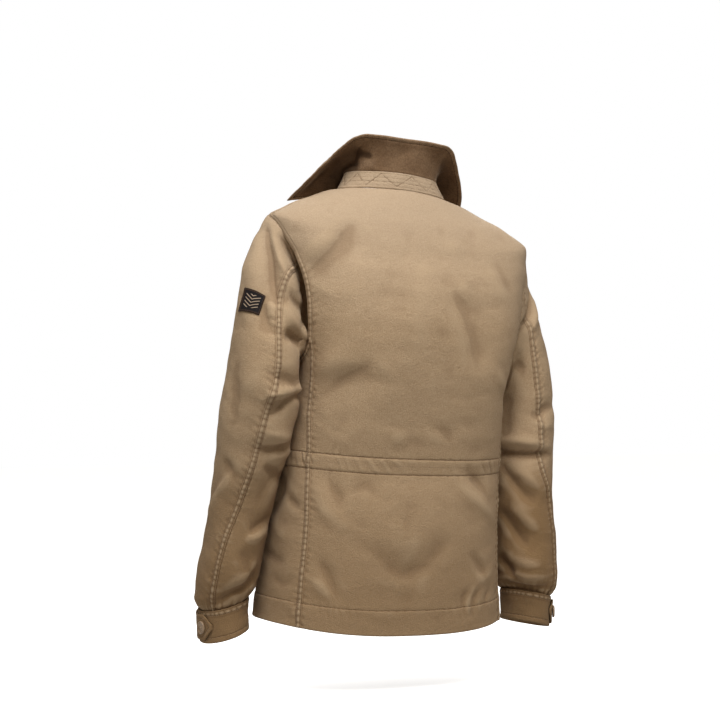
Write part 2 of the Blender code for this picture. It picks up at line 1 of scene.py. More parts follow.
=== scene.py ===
# %% [markdown]
# # A worn field jacket, one cell at a time
#
# The jacket is cut from cotton canvas. It has one back, two fronts that wrap round the sides, two
# sleeves of two pieces each, buttoned cuffs, a canvas collar stand and a brushed collar leaf. It
# hangs as it does when somebody wears it, but nobody is in it, so every wall is a thin shell with
# an inside and an outside.
#
# Cloth could be simulated, but a worn jacket has folds in known places. So each piece is made as a
# surface worked out from sizes, and its folds, seams and puckers are pushed in and out of that
# surface. The numbers can then be changed one fold at a time.

# %% Load the fixed frame
import json
import math

import bmesh
import bpy
import numpy as np
from mathutils import Matrix, Vector

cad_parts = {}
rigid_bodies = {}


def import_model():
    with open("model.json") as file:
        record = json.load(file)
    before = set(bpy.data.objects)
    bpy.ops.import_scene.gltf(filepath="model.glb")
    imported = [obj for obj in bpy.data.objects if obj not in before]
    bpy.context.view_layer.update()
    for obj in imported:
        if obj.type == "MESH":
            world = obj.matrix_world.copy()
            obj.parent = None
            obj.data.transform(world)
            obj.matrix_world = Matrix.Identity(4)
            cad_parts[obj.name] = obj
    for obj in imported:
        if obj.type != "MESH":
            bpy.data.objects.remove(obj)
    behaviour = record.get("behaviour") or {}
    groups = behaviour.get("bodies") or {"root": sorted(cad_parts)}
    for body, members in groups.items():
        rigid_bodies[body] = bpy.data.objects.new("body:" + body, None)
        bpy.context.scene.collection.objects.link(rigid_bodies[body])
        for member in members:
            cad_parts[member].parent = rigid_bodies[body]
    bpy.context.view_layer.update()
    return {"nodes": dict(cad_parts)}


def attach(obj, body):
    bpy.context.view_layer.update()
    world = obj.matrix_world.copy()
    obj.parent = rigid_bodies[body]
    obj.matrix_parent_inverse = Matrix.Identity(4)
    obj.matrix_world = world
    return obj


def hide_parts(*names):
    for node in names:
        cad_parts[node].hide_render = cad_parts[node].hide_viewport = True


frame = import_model()
print("nodes in the frame:", len(frame["nodes"]))

# %% [markdown]
# ## The cut
#
# The frame has +Z up, the back of the jacket towards +Y and the wearer's left towards +X. Sizes are
# in millimetres and become metres when a mesh is made. A height is measured on a ring of the body
# before that ring is tipped, so one height is one line round the jacket, such as the hem.

# %% Sizes
MM = 0.001
CLOTH_WALL = 1.6
COLLAR_WALL = 2.4
CUFF_WALL = 2.4
STRAP_WALL = 2.4
PATCH_WALL = 1.2
SEAM_GAP = 0.3

HEM = -622.0
HEM_STITCH = HEM + 33.0
CASING_LOW = -403.0
CASING_TOP = -381.0
SIDE_SEAM_TOP = -225.0
ARMPIT_DROP = 30.0
UNDERARM_BLEND = -340.0
SHOULDER_POINT = -58.0
NECK = 0.0

STAND_HEIGHT = 24.0
STAND_LIFT = 1.3
CUFF_DEPTH = 45.0
TAB_DEPTH = 36.0
TAB_MARGIN = 4.5
TAB_POINT = 14.0
TAB_START = -75.0
TAB_OUT = (CUFF_WALL + STRAP_WALL) / 2 + SEAM_GAP + 0.3
CUFF_RADIUS = 38.0
BUTTON_SEAT = STRAP_WALL / 2 + SEAM_GAP + 0.15
FRONT_BUTTONS = (-172, -262, -352, -442, -532)
PLACKET_WIDTH = 56.0
PLACKET_TOP = -148.0
PLACKET_OUT = (CLOTH_WALL + STRAP_WALL) / 2 + SEAM_GAP
print("hem to neck:", NECK - HEM, "mm, and the waist casing:", CASING_TOP - CASING_LOW, "mm")

# %% The rings of the body
RING_COLUMNS = (
    "height", "half_width", "back_depth", "front_depth", "squareness",
    "back_rise", "front_rise", "sway", "lean", "roll",
)
RINGS = (
    (-622, 188, 140, 92, 2.5, -16, 18, 18, -44, 0.020),
    (-560, 182, 138, 92, 2.5, -12, 14, 17, -40, 0.025),
    (-500, 176, 134, 94, 2.5, -10, 10, 15, -34, 0.030),
    (-440, 171, 124, 96, 2.6, -8, 6, 12, -27, 0.040),
    (-392, 167, 113, 98, 2.7, -6, 4, 9, -20, 0.045),
    (-340, 162, 114, 104, 3.0, -4, 2, 7, -12, 0.055),
    (-290, 159, 118, 112, 3.2, -2, 0, 5, -7, 0.060),
    (-250, 163, 121, 118, 3.2, -2, -2, 3, -4, 0.070),
    (-200, 174, 121, 116, 3.0, -4, -6, 1, -1, 0.080),
    (-150, 184, 116, 106, 2.8, -8, -14, 0, 0, 0.088),
    (-110, 192, 108, 94, 2.7, -16, -28, 0, 0, 0.088),
    (-80, 200, 98, 84, 2.6, -24, -42, 0, 0, 0.088),
    (-58, 204, 90, 76, 2.5, -28, -52, 0, 0, 0.088),
    (-34, 173, 79, 71, 2.4, -19, -58, 1, -4, 0.088),
    (-18, 136, 67, 66, 2.3, -10, -64, 2, -8, 0.088),
    (-5, 105, 55, 61, 2.2, -1, -73, 3, -13, 0.088),
    (0, 84, 48, 58, 2.1, 4, -78, 4, -15, 0.088),
)
# The seam between back and front, and the two sides of the armhole, as angles from the side of the
# body. The fronts lie open above the placket, a distance each from the middle.
SEAM_COLUMNS = ("height", "back_seam", "armhole_back", "armhole_front", "front_open")
SEAMS = (
    (-622, 32.5, 16.0, -22.5, 0),
    (-500, 30.5, 16.0, -22.5, 0),
    (-392, 25.0, 16.0, -22.5, 0),
    (-300, 15.0, 16.0, -22.5, 0),
    (-225, 16.0, 16.0, -22.5, 0),
    (-190, 16.0, 18.5, -25.0, 0),
    (-150, 16.0, 20.0, -23.0, 0),
    (-110, 16.0, 17.0, -18.0, 11),
    (-90, 16.0, 13.5, -13.5, 16),
    (-70, 16.0, 8.0, -8.0, 21),
    (-58, 16.0, 0.0, 0.0, 24),
    (-34, 16.0, 0.0, 0.0, 31),
    (-18, 16.0, 0.0, 0.0, 36),
    (-5, 16.0, 0.0, 0.0, 42),
    (0, 16.0, 0.0, 0.0, 49),
)

# %% The rings of the sleeves and the turns of the collar
ARM_COLUMNS = (
    "height", "across", "along", "half_width", "half_depth", "outer_rise", "back_rise",
)
LEFT_ARM = (
    (-290, 219, 4, 50, 64, 22, 2),
    (-330, 224, -6, 51, 63, 15, 2),
    (-390, 228, -22, 47, 60, 8, 2),
    (-443, 232, -38, 44, 57, 2, 4),
    (-500, 239, -50, 44, 55, -3, 6),
    (-543, 245, -56, 45, 55, -6, 6),
    (-578, 247, -66, 44, 53, -9, 3),
    (-597, 249, -71, 34, 46, -11, 0),
    (-642, 248, -70, 33, 44, -11, 0),
)
RIGHT_ARM = (
    (-300, 208, -14, 50, 64, 22, 2),
    (-340, 210, -12, 51, 62, 15, 2),
    (-400, 210, -9, 48, 60, 8, 2),
    (-455, 210, -5, 45, 57, 2, 3),
    (-510, 215, -3, 45, 55, -3, 4),
    (-555, 217, -4, 46, 55, -6, 4),
    (-582, 219, -7, 45, 54, -7, 4),
    (-599, 221, -9, 35, 46, -8, 3),
    (-643, 224, -16, 33, 44, -8, 3),
)
SLEEVE_SEAM_COLUMNS = ("below_head", "left_back", "right_back", "front")
SLEEVE_SEAMS = (
    (0, 85, 92, -125),
    (100, 74, 88, -122),
    (160, 63, 66, -118),
    (230, 49, 62, -114),
    (345, 38, 62, -110),
)
LEAF_COLUMNS = ("turn", "control_out", "control_up", "edge_across", "edge_along", "edge_up")
LEAF = (
    (0, 0, 28, 0, 36, 80),
    (25, 0, 28, 33, 38, 80),
    (45, 0, 30, 62, 37, 79),
    (62, 2, 33, 80, 29, 73),
    (78, 6, 34, 93, 15, 60),
    (95, 10, 32, 109, -4, 38),
    (115, 14, 29, 127, -33, 11),
    (144, 18, 24, 141, -77, -18),
)
STAND_COLUMNS = ("turn", "lean_in")
STAND = ((0, 4), (45, 8), (80, 14), (110, 10), (144, 5))
print("rings of the body:", len(RINGS), "and of each sleeve:", len(LEFT_ARM))

# %% [markdown]
# ## Reading a table as a smooth curve
#
# A ring every few centimetres is enough to shape a jacket, if the values between the rings are
# smooth. The curve used here goes through every value and never overshoots, so a straight stretch
# of the table stays straight on the jacket.

# %% Tables and curves


def table(columns, rows):
    """A table of rows as one array for each named column."""
    return {name: np.array(values) for name, values in zip(columns, zip(*rows))}


def cubic(t, begin, leave, end, arrive):
    """The smooth way from begin to end, as t goes from 0 to 1, with a tangent at each."""
    return (
        begin * (1 + 2 * t) * (1 - t) ** 2
        + leave * t * (1 - t) ** 2
        + end * t * t * (3 - 2 * t)
        + arrive * t * t * (t - 1)
    )


def read(source, name, at):
    """Column `name` of a table at any places of its first column, smooth and never overshooting."""
    knots, values = list(source.values())[0].astype(float), source[name].astype(float)
    if knots[0] > knots[-1]:
        knots, values = knots[::-1], values[::-1]
    step = np.diff(knots)
    slope = np.diff(values) / step
    before, after = slope[:-1], slope[1:]
    same_way = before * after > 0
    inner = np.where(same_way, 2 * before * after / np.where(same_way, before + after, 1.0), 0.0)
    tangent = np.concatenate([[slope[0]], inner, [slope[-1]]])
    at = np.clip(np.asarray(at, float), knots[0], knots[-1])
    k = np.clip(np.searchsorted(knots, at, side="right") - 1, 0, len(step) - 1)
    t, size = (at - knots[k]) / step[k], step[k]
    return cubic(t, values[k], tangent[k] * size, values[k + 1], tangent[k + 1] * size)


def signed_power(value, power):
    return np.sign(value) * np.abs(value) ** power


def unit(vectors):
    length = np.linalg.norm(vectors, axis=-1, keepdims=True)
    return vectors / np.maximum(length, 1e-9)


def ease(value, low, high):
    """0 below low, 1 above high, smooth between."""
    t = np.clip((value - low) / (high - low), 0, 1)
    return t * t * (3 - 2 * t)


RING = table(RING_COLUMNS, RINGS)
SEAM = table(SEAM_COLUMNS, SEAMS)
ARM = {"left": table(ARM_COLUMNS, LEFT_ARM), "right": table(ARM_COLUMNS, RIGHT_ARM)}
SLEEVE_SEAM = table(SLEEVE_SEAM_COLUMNS, SLEEVE_SEAMS)
LEAF_ROW = table(LEAF_COLUMNS, LEAF)
STAND_ROW = table(STAND_COLUMNS, STAND)
SIDE = {"left": 1.0, "right": -1.0}
print("half width at the waist casing:", float(read(RING, "half_width", CASING_TOP)))

# %% [markdown]
# ## The body's surface
#
# A ring of the body is a rounded square that is deeper at the back than at the front. An angle
# names a place on it: 0 is the wearer's left side, 90 the middle of the back, -90 the middle of the
# front and 180 the right side. `out` moves a point away from the middle, which is how a strap lies
# on the panel below it.

# %% Body surface


def body(angle, height, out=0.0):
    """The middle of the body's cloth at an angle and a height."""
    angle, height = np.broadcast_arrays(np.asarray(angle, float), np.asarray(height, float))
    across, along = np.cos(np.radians(angle)), np.sin(np.radians(angle))
    power = 2 / read(RING, "squareness", height)
    is_back = along > 0
    depth = np.where(is_back, read(RING, "back_depth", height), read(RING, "front_depth", height))
    rise = np.where(is_back, read(RING, "back_rise", height), read(RING, "front_rise", height))
    x = read(RING, "half_width", height) * signed_power(across, power)
    y = depth * signed_power(along, power)
    share = 1 + out / np.hypot(x, y)
    x, y = x * share + read(RING, "sway", height), y * share + read(RING, "lean", height)
    return np.stack([x, y, height + rise * along**2 + read(RING, "roll", height) * x], axis=-1)


def front_angle(across, height):
    """The angle at which a ring's front is a distance across from its middle."""
    share = across / read(RING, "half_width", height)
    reach = signed_power(share, read(RING, "squareness", height) / 2)
    return np.degrees(np.arcsin(reach)) - 90


def side_angle(side, angle):
    """An angle from one side of the body, as an angle round the whole of it."""
    return angle if side == "left" else 180 - angle


def under_armhole(share, height):
    """Lowers the lines under the armhole, so that the top one dips to the armpit."""
    dip = ARMPIT_DROP * np.sin(np.pi * share)
    above = np.clip((height - UNDERARM_BLEND) / (SIDE_SEAM_TOP - UNDERARM_BLEND), 0, 1)
    return height - dip * above


print("chest, side to side:", round(2 * float(read(RING, "half_width", -200))), "mm")

# %% [markdown]
# ## The sleeves' surface
#
# A sleeve is sewn to the armhole, so its first row is the armhole itself. From there it leaves the
# shoulder in its own direction and meets the rings of the arm further down. A step counts round the
# armhole from the shoulder: down the back to 10, under the arm to 16, and up the front to 26. A row
# counts down the sleeve: the head ends at row 6 and the cuff is at row 20.

# %% Sleeve surface
ARMHOLE_HEIGHTS = (
    SHOULDER_POINT, -65, -76, -90, -105, -123, -145, -165, -185, -205, SIDE_SEAM_TOP,
)
BACK_STEP, FRONT_STEP, LAST_STEP = 5, 18, 26
UNDER_FROM, UNDER_TO = 10, 16
HEAD_ROW, CUFF_ROW = 6, 20
SLEEVE_START_OUT = {"left": (0.70, -0.71), "right": (0.16, -0.99), "under": (0.97, -0.25)}


def armhole(side, step):
    """A point of an armhole, at a step from the shoulder."""
    step = np.mod(step, LAST_STEP)
    counts = np.arange(len(ARMHOLE_HEIGHTS))
    height = np.where(
        step <= UNDER_TO, np.interp(step, counts, ARMHOLE_HEIGHTS),
        np.interp(LAST_STEP - step, counts, ARMHOLE_HEIGHTS),
    )
    share = np.clip((step - UNDER_FROM) / (UNDER_TO - UNDER_FROM), 0, 1)
    ends = read(SEAM, "armhole_back", SIDE_SEAM_TOP), read(SEAM, "armhole_front", SIDE_SEAM_TOP)
    under = ends[0] + share * (ends[1] - ends[0])
    angle = np.where(
        step < UNDER_FROM, read(SEAM, "armhole_back", height),
        np.where(step > UNDER_TO, read(SEAM, "armhole_front", height), under),
    )
    inside = (step >= UNDER_FROM) & (step <= UNDER_TO)
    level = np.where(inside, under_armhole(share, SIDE_SEAM_TOP), height)
    return body(side_angle(side, angle), level)


def step_angle(side, step, height):
    """The angle round the sleeve of a step. 0 is the outer side and 90 the back."""
    step = np.mod(step, LAST_STEP)
    below = ARM[side]["height"][0] - height
    back = read(SLEEVE_SEAM, side + "_back", below)
    front = read(SLEEVE_SEAM, "front", below) + 360
    past = (step - BACK_STEP) / (FRONT_STEP - BACK_STEP)
    rest = front + (360 - front) * (step - FRONT_STEP) / (LAST_STEP - FRONT_STEP)
    return np.where(
        step <= BACK_STEP, back * step / BACK_STEP,
        np.where(step <= FRONT_STEP, back + (front - back) * past, rest),
    )


def arm(side, angle, height, out=0.0):
    """The middle of a sleeve's cloth below its head."""
    rows, sign = ARM[side], SIDE[side]
    across, along = np.cos(np.radians(angle)), np.sin(np.radians(angle))
    width, depth = read(rows, "half_width", height), read(rows, "half_depth", height)
    push = out / np.hypot(depth * across, width * along)
    x = read(rows, "across", height) + (width + push * depth) * across
    y = read(rows, "along", height) + (depth + push * width) * along
    z = height + read(rows, "outer_rise", height) * across + read(rows, "back_rise", height) * along
    return np.stack([sign * x, y, z], axis=-1)


def row_height(side, row):
    """The height of a row of the sleeve, below its head."""
    top, end = ARM[side]["height"][0], ARM[side]["height"][-2]
    return top + (row - HEAD_ROW) / (CUFF_ROW - HEAD_ROW) * (end - top)


def sleeve(side, step, row):
    """The middle of a sleeve's cloth, from the armhole at row 0 to the cuff."""
    step, row = np.broadcast_arrays(np.asarray(step, float), np.asarray(row, float))
    whole = armhole(side, np.arange(0, LAST_STEP))[:, 2]
    begin = armhole(side, step)
    bottom = ((whole.max() - begin[..., 2]) / (whole.max() - whole.min())) ** 3
    over, under = np.array(SLEEVE_START_OUT[side]), np.array(SLEEVE_START_OUT["under"])
    heading = over + bottom[..., None] * (under - over)
    leave = np.stack([SIDE[side] * heading[..., 0], 0 * bottom, heading[..., 1]], axis=-1)
    top = row_height(side, HEAD_ROW)
    below = row_height(side, HEAD_ROW + 1)
    meet = arm(side, step_angle(side, step, top), top)
    arrive = unit(arm(side, step_angle(side, step, below), below) - meet)
    reach = np.linalg.norm(meet - begin, axis=-1, keepdims=True)
    t = np.clip(row / HEAD_ROW, 0, 1)[..., None]
    head = cubic(t, begin, leave * reach, meet, arrive * reach)
    height = row_height(side, np.maximum(row, HEAD_ROW))
    lower = arm(side, step_angle(side, step, height), height)
    return np.where((row < HEAD_ROW)[..., None], head, lower)


print("armhole of the left sleeve:", armhole("left", np.array([0.0, 13.0])).round(0).tolist())

# %% [markdown]
# ## Lines on the cloth
#
# Folds, seams and stitches all follow lines. For every point of a piece, the next cell finds how
# far it is from a line, how far along the line it lies and on which side. Everything that is drawn
# on the cloth is then a small function of those three numbers.

# %% Lines and distances


def arc(line):
    """The length along a line at each of its points."""
    steps = np.linalg.norm(np.diff(line, axis=0), axis=1)
    return np.concatenate([[0.0], np.cumsum(steps)])


def smooth_line(stations, pieces=10):
    """A smooth line through rows of numbers, with so many short pieces between two rows."""
    rows = np.asarray(stations, float)
    rows = np.concatenate([2 * rows[:1] - rows[1:2], rows, 2 * rows[-1:] - rows[-2:-1]])
    line = []
    for a, b, c, d in zip(rows, rows[1:], rows[2:], rows[3:]):
        t = np.linspace(0, 1, pieces, endpoint=False)[:, None]
        curve = 2 * b + (c - a) * t + (2 * a - 5 * b + 4 * c - d) * t**2
        line.append((curve + (3 * b - a - 3 * c + d) * t**3) / 2)
    return np.concatenate(line + [rows[-2:-1]])


AT_ONCE = 4000


def closest(points, line, reach):
    """Points within reach of a line's box, a few at a time: which they are, the nearest place on
    the line for each, and the gap from there."""
    inside = (points > line.min(axis=0) - reach) & (points < line.max(axis=0) + reach)
    close = np.flatnonzero(inside.all(axis=1))
    for start in range(0, len(close), AT_ONCE):
        some = close[start:start + AT_ONCE]
        gaps = points[some][:, None] - line[None]
        best = (gaps**2).sum(axis=-1).argmin(axis=1)
        yield some, best, gaps[np.arange(len(some)), best]


def near(points, normals, line, reach):
    """Distance of each point from a line, the length along it there, and the side it lies on."""
    tangents, runs = unit(np.gradient(line, axis=0)), arc(line)
    distance, run, side = np.full(len(points), np.inf), np.zeros(len(points)), np.ones(len(points))
    for some, best, gap in closest(points, line, reach):
        ahead = (gap * tangents[best]).sum(axis=-1)
        past_end = ((best == 0) & (ahead < 0)) | ((best == len(line) - 1) & (ahead > 0))
        square = (gap**2).sum(axis=-1) - np.where(past_end, 0, ahead**2)
        distance[some] = np.sqrt(np.maximum(square, 0))
        run[some] = runs[best] + np.where(past_end, 0, ahead)
        turn = (np.cross(tangents[best], gap) * normals[some]).sum(axis=-1)
        side[some] = turn / np.maximum(np.sqrt((gap**2).sum(axis=-1)), 1e-6)
    return distance, run, side


def graded(total, coarse, fine, marks, flat, spread):
    """Places from 0 to total, close together near the marks and wider apart between them."""
    places = [0.0]
    while places[-1] < total:
        away = min(abs(places[-1] - mark) for mark in marks)
        places.append(places[-1] + fine + (coarse - fine) * float(ease(away, flat, spread)))
    return np.array(places) * total / places[-1]


print("places over 100 mm with a seam at 0:", len(graded(100, 5, 1.2, [0], 11, 26)))

# %% [markdown]
# ## A panel of cloth
#
# A panel starts as a grid of points on one of the surfaces above. Beside the armholes it is lifted
# a few millimetres: `LIFTS` pairs a step round the armhole with a height. Each fold and seam adds
# to its `push`, the distance that the cloth moves along its own normal. At the end the grid gets an
# outer skin, an inner skin and a rounded rim. A Solidify modifier could thicken it, but a wall made
# here also knows where its outer skin is, and the stitches are laid on that.

# %% The panel


def normals_of(points, wrap):
    """The direction that a grid faces at each point. A wrapped grid closes on itself."""
    down = np.gradient(points, axis=0)
    across = np.gradient(points, axis=1)
    if wrap:
        across = (np.roll(points, -1, axis=1) - np.roll(points, 1, axis=1)) / 2
    return unit(np.cross(across, down))


MARKS = {"seam": 99.0, "bead": 0.0, "row": 99.0, "run": 0.0}
FOLD_REACH = 3.2
RIM_ROUND = 0.8


def drift(run):
    """A run along a seam, made uneven so that no two beads are alike."""
    return run + 1.9 * np.sin(run / 23.0) + 1.3 * np.sin(run / 9.7 + 2) + 0.8 * np.sin(run / 5.1)


LOOP_STEPS = np.linspace(0, LAST_STEP, 261)
LOOPS = [armhole(side, LOOP_STEPS) for side in SIDE]
LIFT_REACH = 15.0
LIFTS = ((0, 3), (1.5, 4.5), (3.5, 6), (7.5, 6), (10.5, 1.5), (13, 0), (20, 0), (24, 2), (26, 3))


def lifted(places):
    """Lifts the cloth beside the armholes, where body and sleeve meet in one flat curve."""
    flat = places.reshape(-1, 3)
    moved = flat.copy()
    for loop in LOOPS:
        away = unit(loop - loop.mean(axis=0)) * np.interp(LOOP_STEPS, *zip(*LIFTS))[:, None]
        for some, best, gap in closest(flat, loop, 50):
            share = np.exp(-(gap**2).sum(axis=-1) / LIFT_REACH**2)
            moved[some] += share[:, None] * away[best]
    return moved.reshape(places.shape)


def from_edge(grid, edge):
    """A view of a grid in which the given edge is the first column."""
    grid = grid.swapaxes(0, 1) if edge in ("bottom", "top") else grid
    return grid[:, ::-1] if edge in ("right", "top") else grid


class Panel:
    """A grid of cloth. It curves round the point `inside`, and `cut` leaves out part of it."""

    def __init__(self, name, points, inside, wrap=False, cut=None):
        points = lifted(points)
        self.name, self.base, self.wrap, self.cut = name, points, wrap, cut
        self.normals = normals_of(points, wrap)
        self.turn = 1.0 if ((points - inside) * self.normals).sum() > 0 else -1.0
        self.normals = self.normals * self.turn
        self.push = np.zeros(points.shape[:2])
        # painted shade for each point, by which the materials darken the colour
        self.unfaded = np.zeros(points.shape[:2])
        self.marks = {name: np.full(points.shape[:2], start) for name, start in MARKS.items()}

    def flat(self):
        return self.base.reshape(-1, 3), self.normals.reshape(-1, 3)

    def fold(self, folds, place):
        """Adds folds, each with a wide and a narrow side, a sharpness and its stations."""
        points, normals = self.flat()
        for wide, narrow, sharp, stations in folds:
            line = smooth_line(stations)
            path = lifted(place(line[:, 0], line[:, 1]))
            distance, run, side = near(points, normals, path, FOLD_REACH * max(wide, narrow))
            depth = np.interp(run, arc(path), line[:, 2])
            slope = (wide + narrow) / 2 + np.clip(side, -1, 1) * (wide - narrow) / 2
            push = depth * np.exp(-((distance / slope) ** sharp))
            self.push += push.reshape(self.push.shape)

    def mark(self, run, where, **values):
        """Keeps the distances to the nearest seam and stitch row, for the material to draw."""
        for name in ("seam", "row"):
            if name in values:
                closer = where & (np.abs(values[name]) < np.abs(self.marks[name]))
                nearest = np.minimum(np.abs(self.marks["seam"]), np.abs(self.marks["row"]))
                first = closer & (np.abs(values[name]) < nearest)
                self.marks["run"][first] = drift(run)[first]
                self.marks[name][closer] = values[name][closer]
                if "bead" in values:
                    self.marks["bead"][closer] = values["bead"][closer]

    def seam(self, line, relief, reach=34.0, **sizes):
        """Adds a seam: a relief turns distance and run into a push and marks for the material."""
        points, normals = self.flat()
        distance, run, _ = (part.reshape(self.push.shape) for part in near(
            points, normals, line, reach))
        close = distance < reach
        push, marks = relief(np.minimum(distance, reach), run, **sizes)
        self.push += np.where(close, push, 0)
        self.mark(run, close, **marks)

    def stretch(self, edges, amount):
        """Lets chosen edges of the grid reach a little further, over the next piece."""
        for edge in edges:
            grid = from_edge(self.base, edge)
            grid[:, 0] += amount * unit(grid[:, 0] - grid[:, 1])

    def settle(self, wall):
        """Moves the cloth by its push, and finds its outer skin."""
        self.wall = wall
        self.middle = self.base + self.push[..., None] * self.normals
        self.normals = normals_of(self.middle, self.wrap) * self.turn
        self.outer = self.middle + wall / 2 * self.normals

    def lines(self, edge, distance, rows=slice(None), columns=slice(None)):
        """A line on the outer skin, a distance in from an edge of the grid, and its normals."""
        skin = np.concatenate([self.outer, self.normals], axis=-1)[rows, columns]
        skin = from_edge(skin, edge)
        steps = np.linalg.norm(np.diff(skin[..., :3], axis=1), axis=-1)
        run = np.concatenate([np.zeros((len(skin), 1)), np.cumsum(steps, axis=1)], axis=1)
        found = [[np.interp(distance, r, row[:, k]) for k in range(6)] for r, row in zip(run, skin)]
        found = np.array(found)
        return found[:, :3], unit(found[:, 3:])


def wall_mesh(panel):
    """A closed wall round a panel's middle: outer skin, inner skin and a rounded rim."""
    middle, normals = panel.middle.reshape(-1, 3), panel.normals.reshape(-1, 3)
    rows, columns = panel.middle.shape[:2]
    ids = np.arange(rows * columns).reshape(rows, columns)
    left, right = (ids, np.roll(ids, -1, axis=1)) if panel.wrap else (ids[:, :-1], ids[:, 1:])
    quads = np.stack([left[:-1], right[:-1], right[1:], left[1:]], axis=-1)
    quads = (quads if panel.cut is None else quads[~panel.cut]).reshape(-1, 4)
    first, second, third = (middle[quads[:, k]] for k in range(3))
    facing = (np.cross(second - first, third - first) * normals[quads[:, 0]]).sum()
    quads = quads if facing > 0 else quads[:, ::-1]

    used, quads = np.unique(quads, return_inverse=True)
    quads = quads.reshape(-1, 4)
    middle, normals = middle[used], normals[used]
    count = len(used)
    edges = np.stack([quads, np.roll(quads, -1, axis=1)], axis=-1).reshape(-1, 2)
    border = edges[~np.isin(edges[:, 0] * count + edges[:, 1], edges[:, 1] * count + edges[:, 0])]
    away = np.zeros((count, 3))
    out = unit(np.cross(middle[border[:, 1]] - middle[border[:, 0]], normals[border[:, 0]]))
    np.add.at(away, border[:, 0], out)
    np.add.at(away, border[:, 1], out)
    rim = np.unique(border)
    rim_id = np.full(count, -1)
    rim_id[rim] = 2 * count + np.arange(len(rim))

    half = panel.wall / 2
    ring = middle[rim] + RIM_ROUND * half * unit(away[rim])
    places = np.concatenate([middle + half * normals, middle - half * normals, ring])
    a, b = border.T
    faces = np.concatenate([
        quads, quads[:, ::-1] + count,
        np.stack([b, a, rim_id[a], rim_id[b]], axis=1),
        np.stack([rim_id[b], rim_id[a], a + count, b + count], axis=1),
    ])
    source = np.concatenate([used, used, used[rim]])
    return places, faces, source


print("a panel's rim is rounded by", RIM_ROUND, "of half its wall")

# %% [markdown]
# ## The main folds
#
# A fold has two widths, a sharpness and a row of stations with a smooth line through them. On the
# body a station is an angle, a height and a depth in millimetres. On a sleeve it is a step round
# it, a row down it and a depth, and on the collar leaf a turn, a share and a depth. Minus goes in
# and plus comes out. The widths are the slopes beside the line, so one side can be steep and the
# other soft, and a sharpness under 2 gives a crisper crest. Folds are placed on the body or the
# sleeve as a whole, so a fold goes on across a seam.

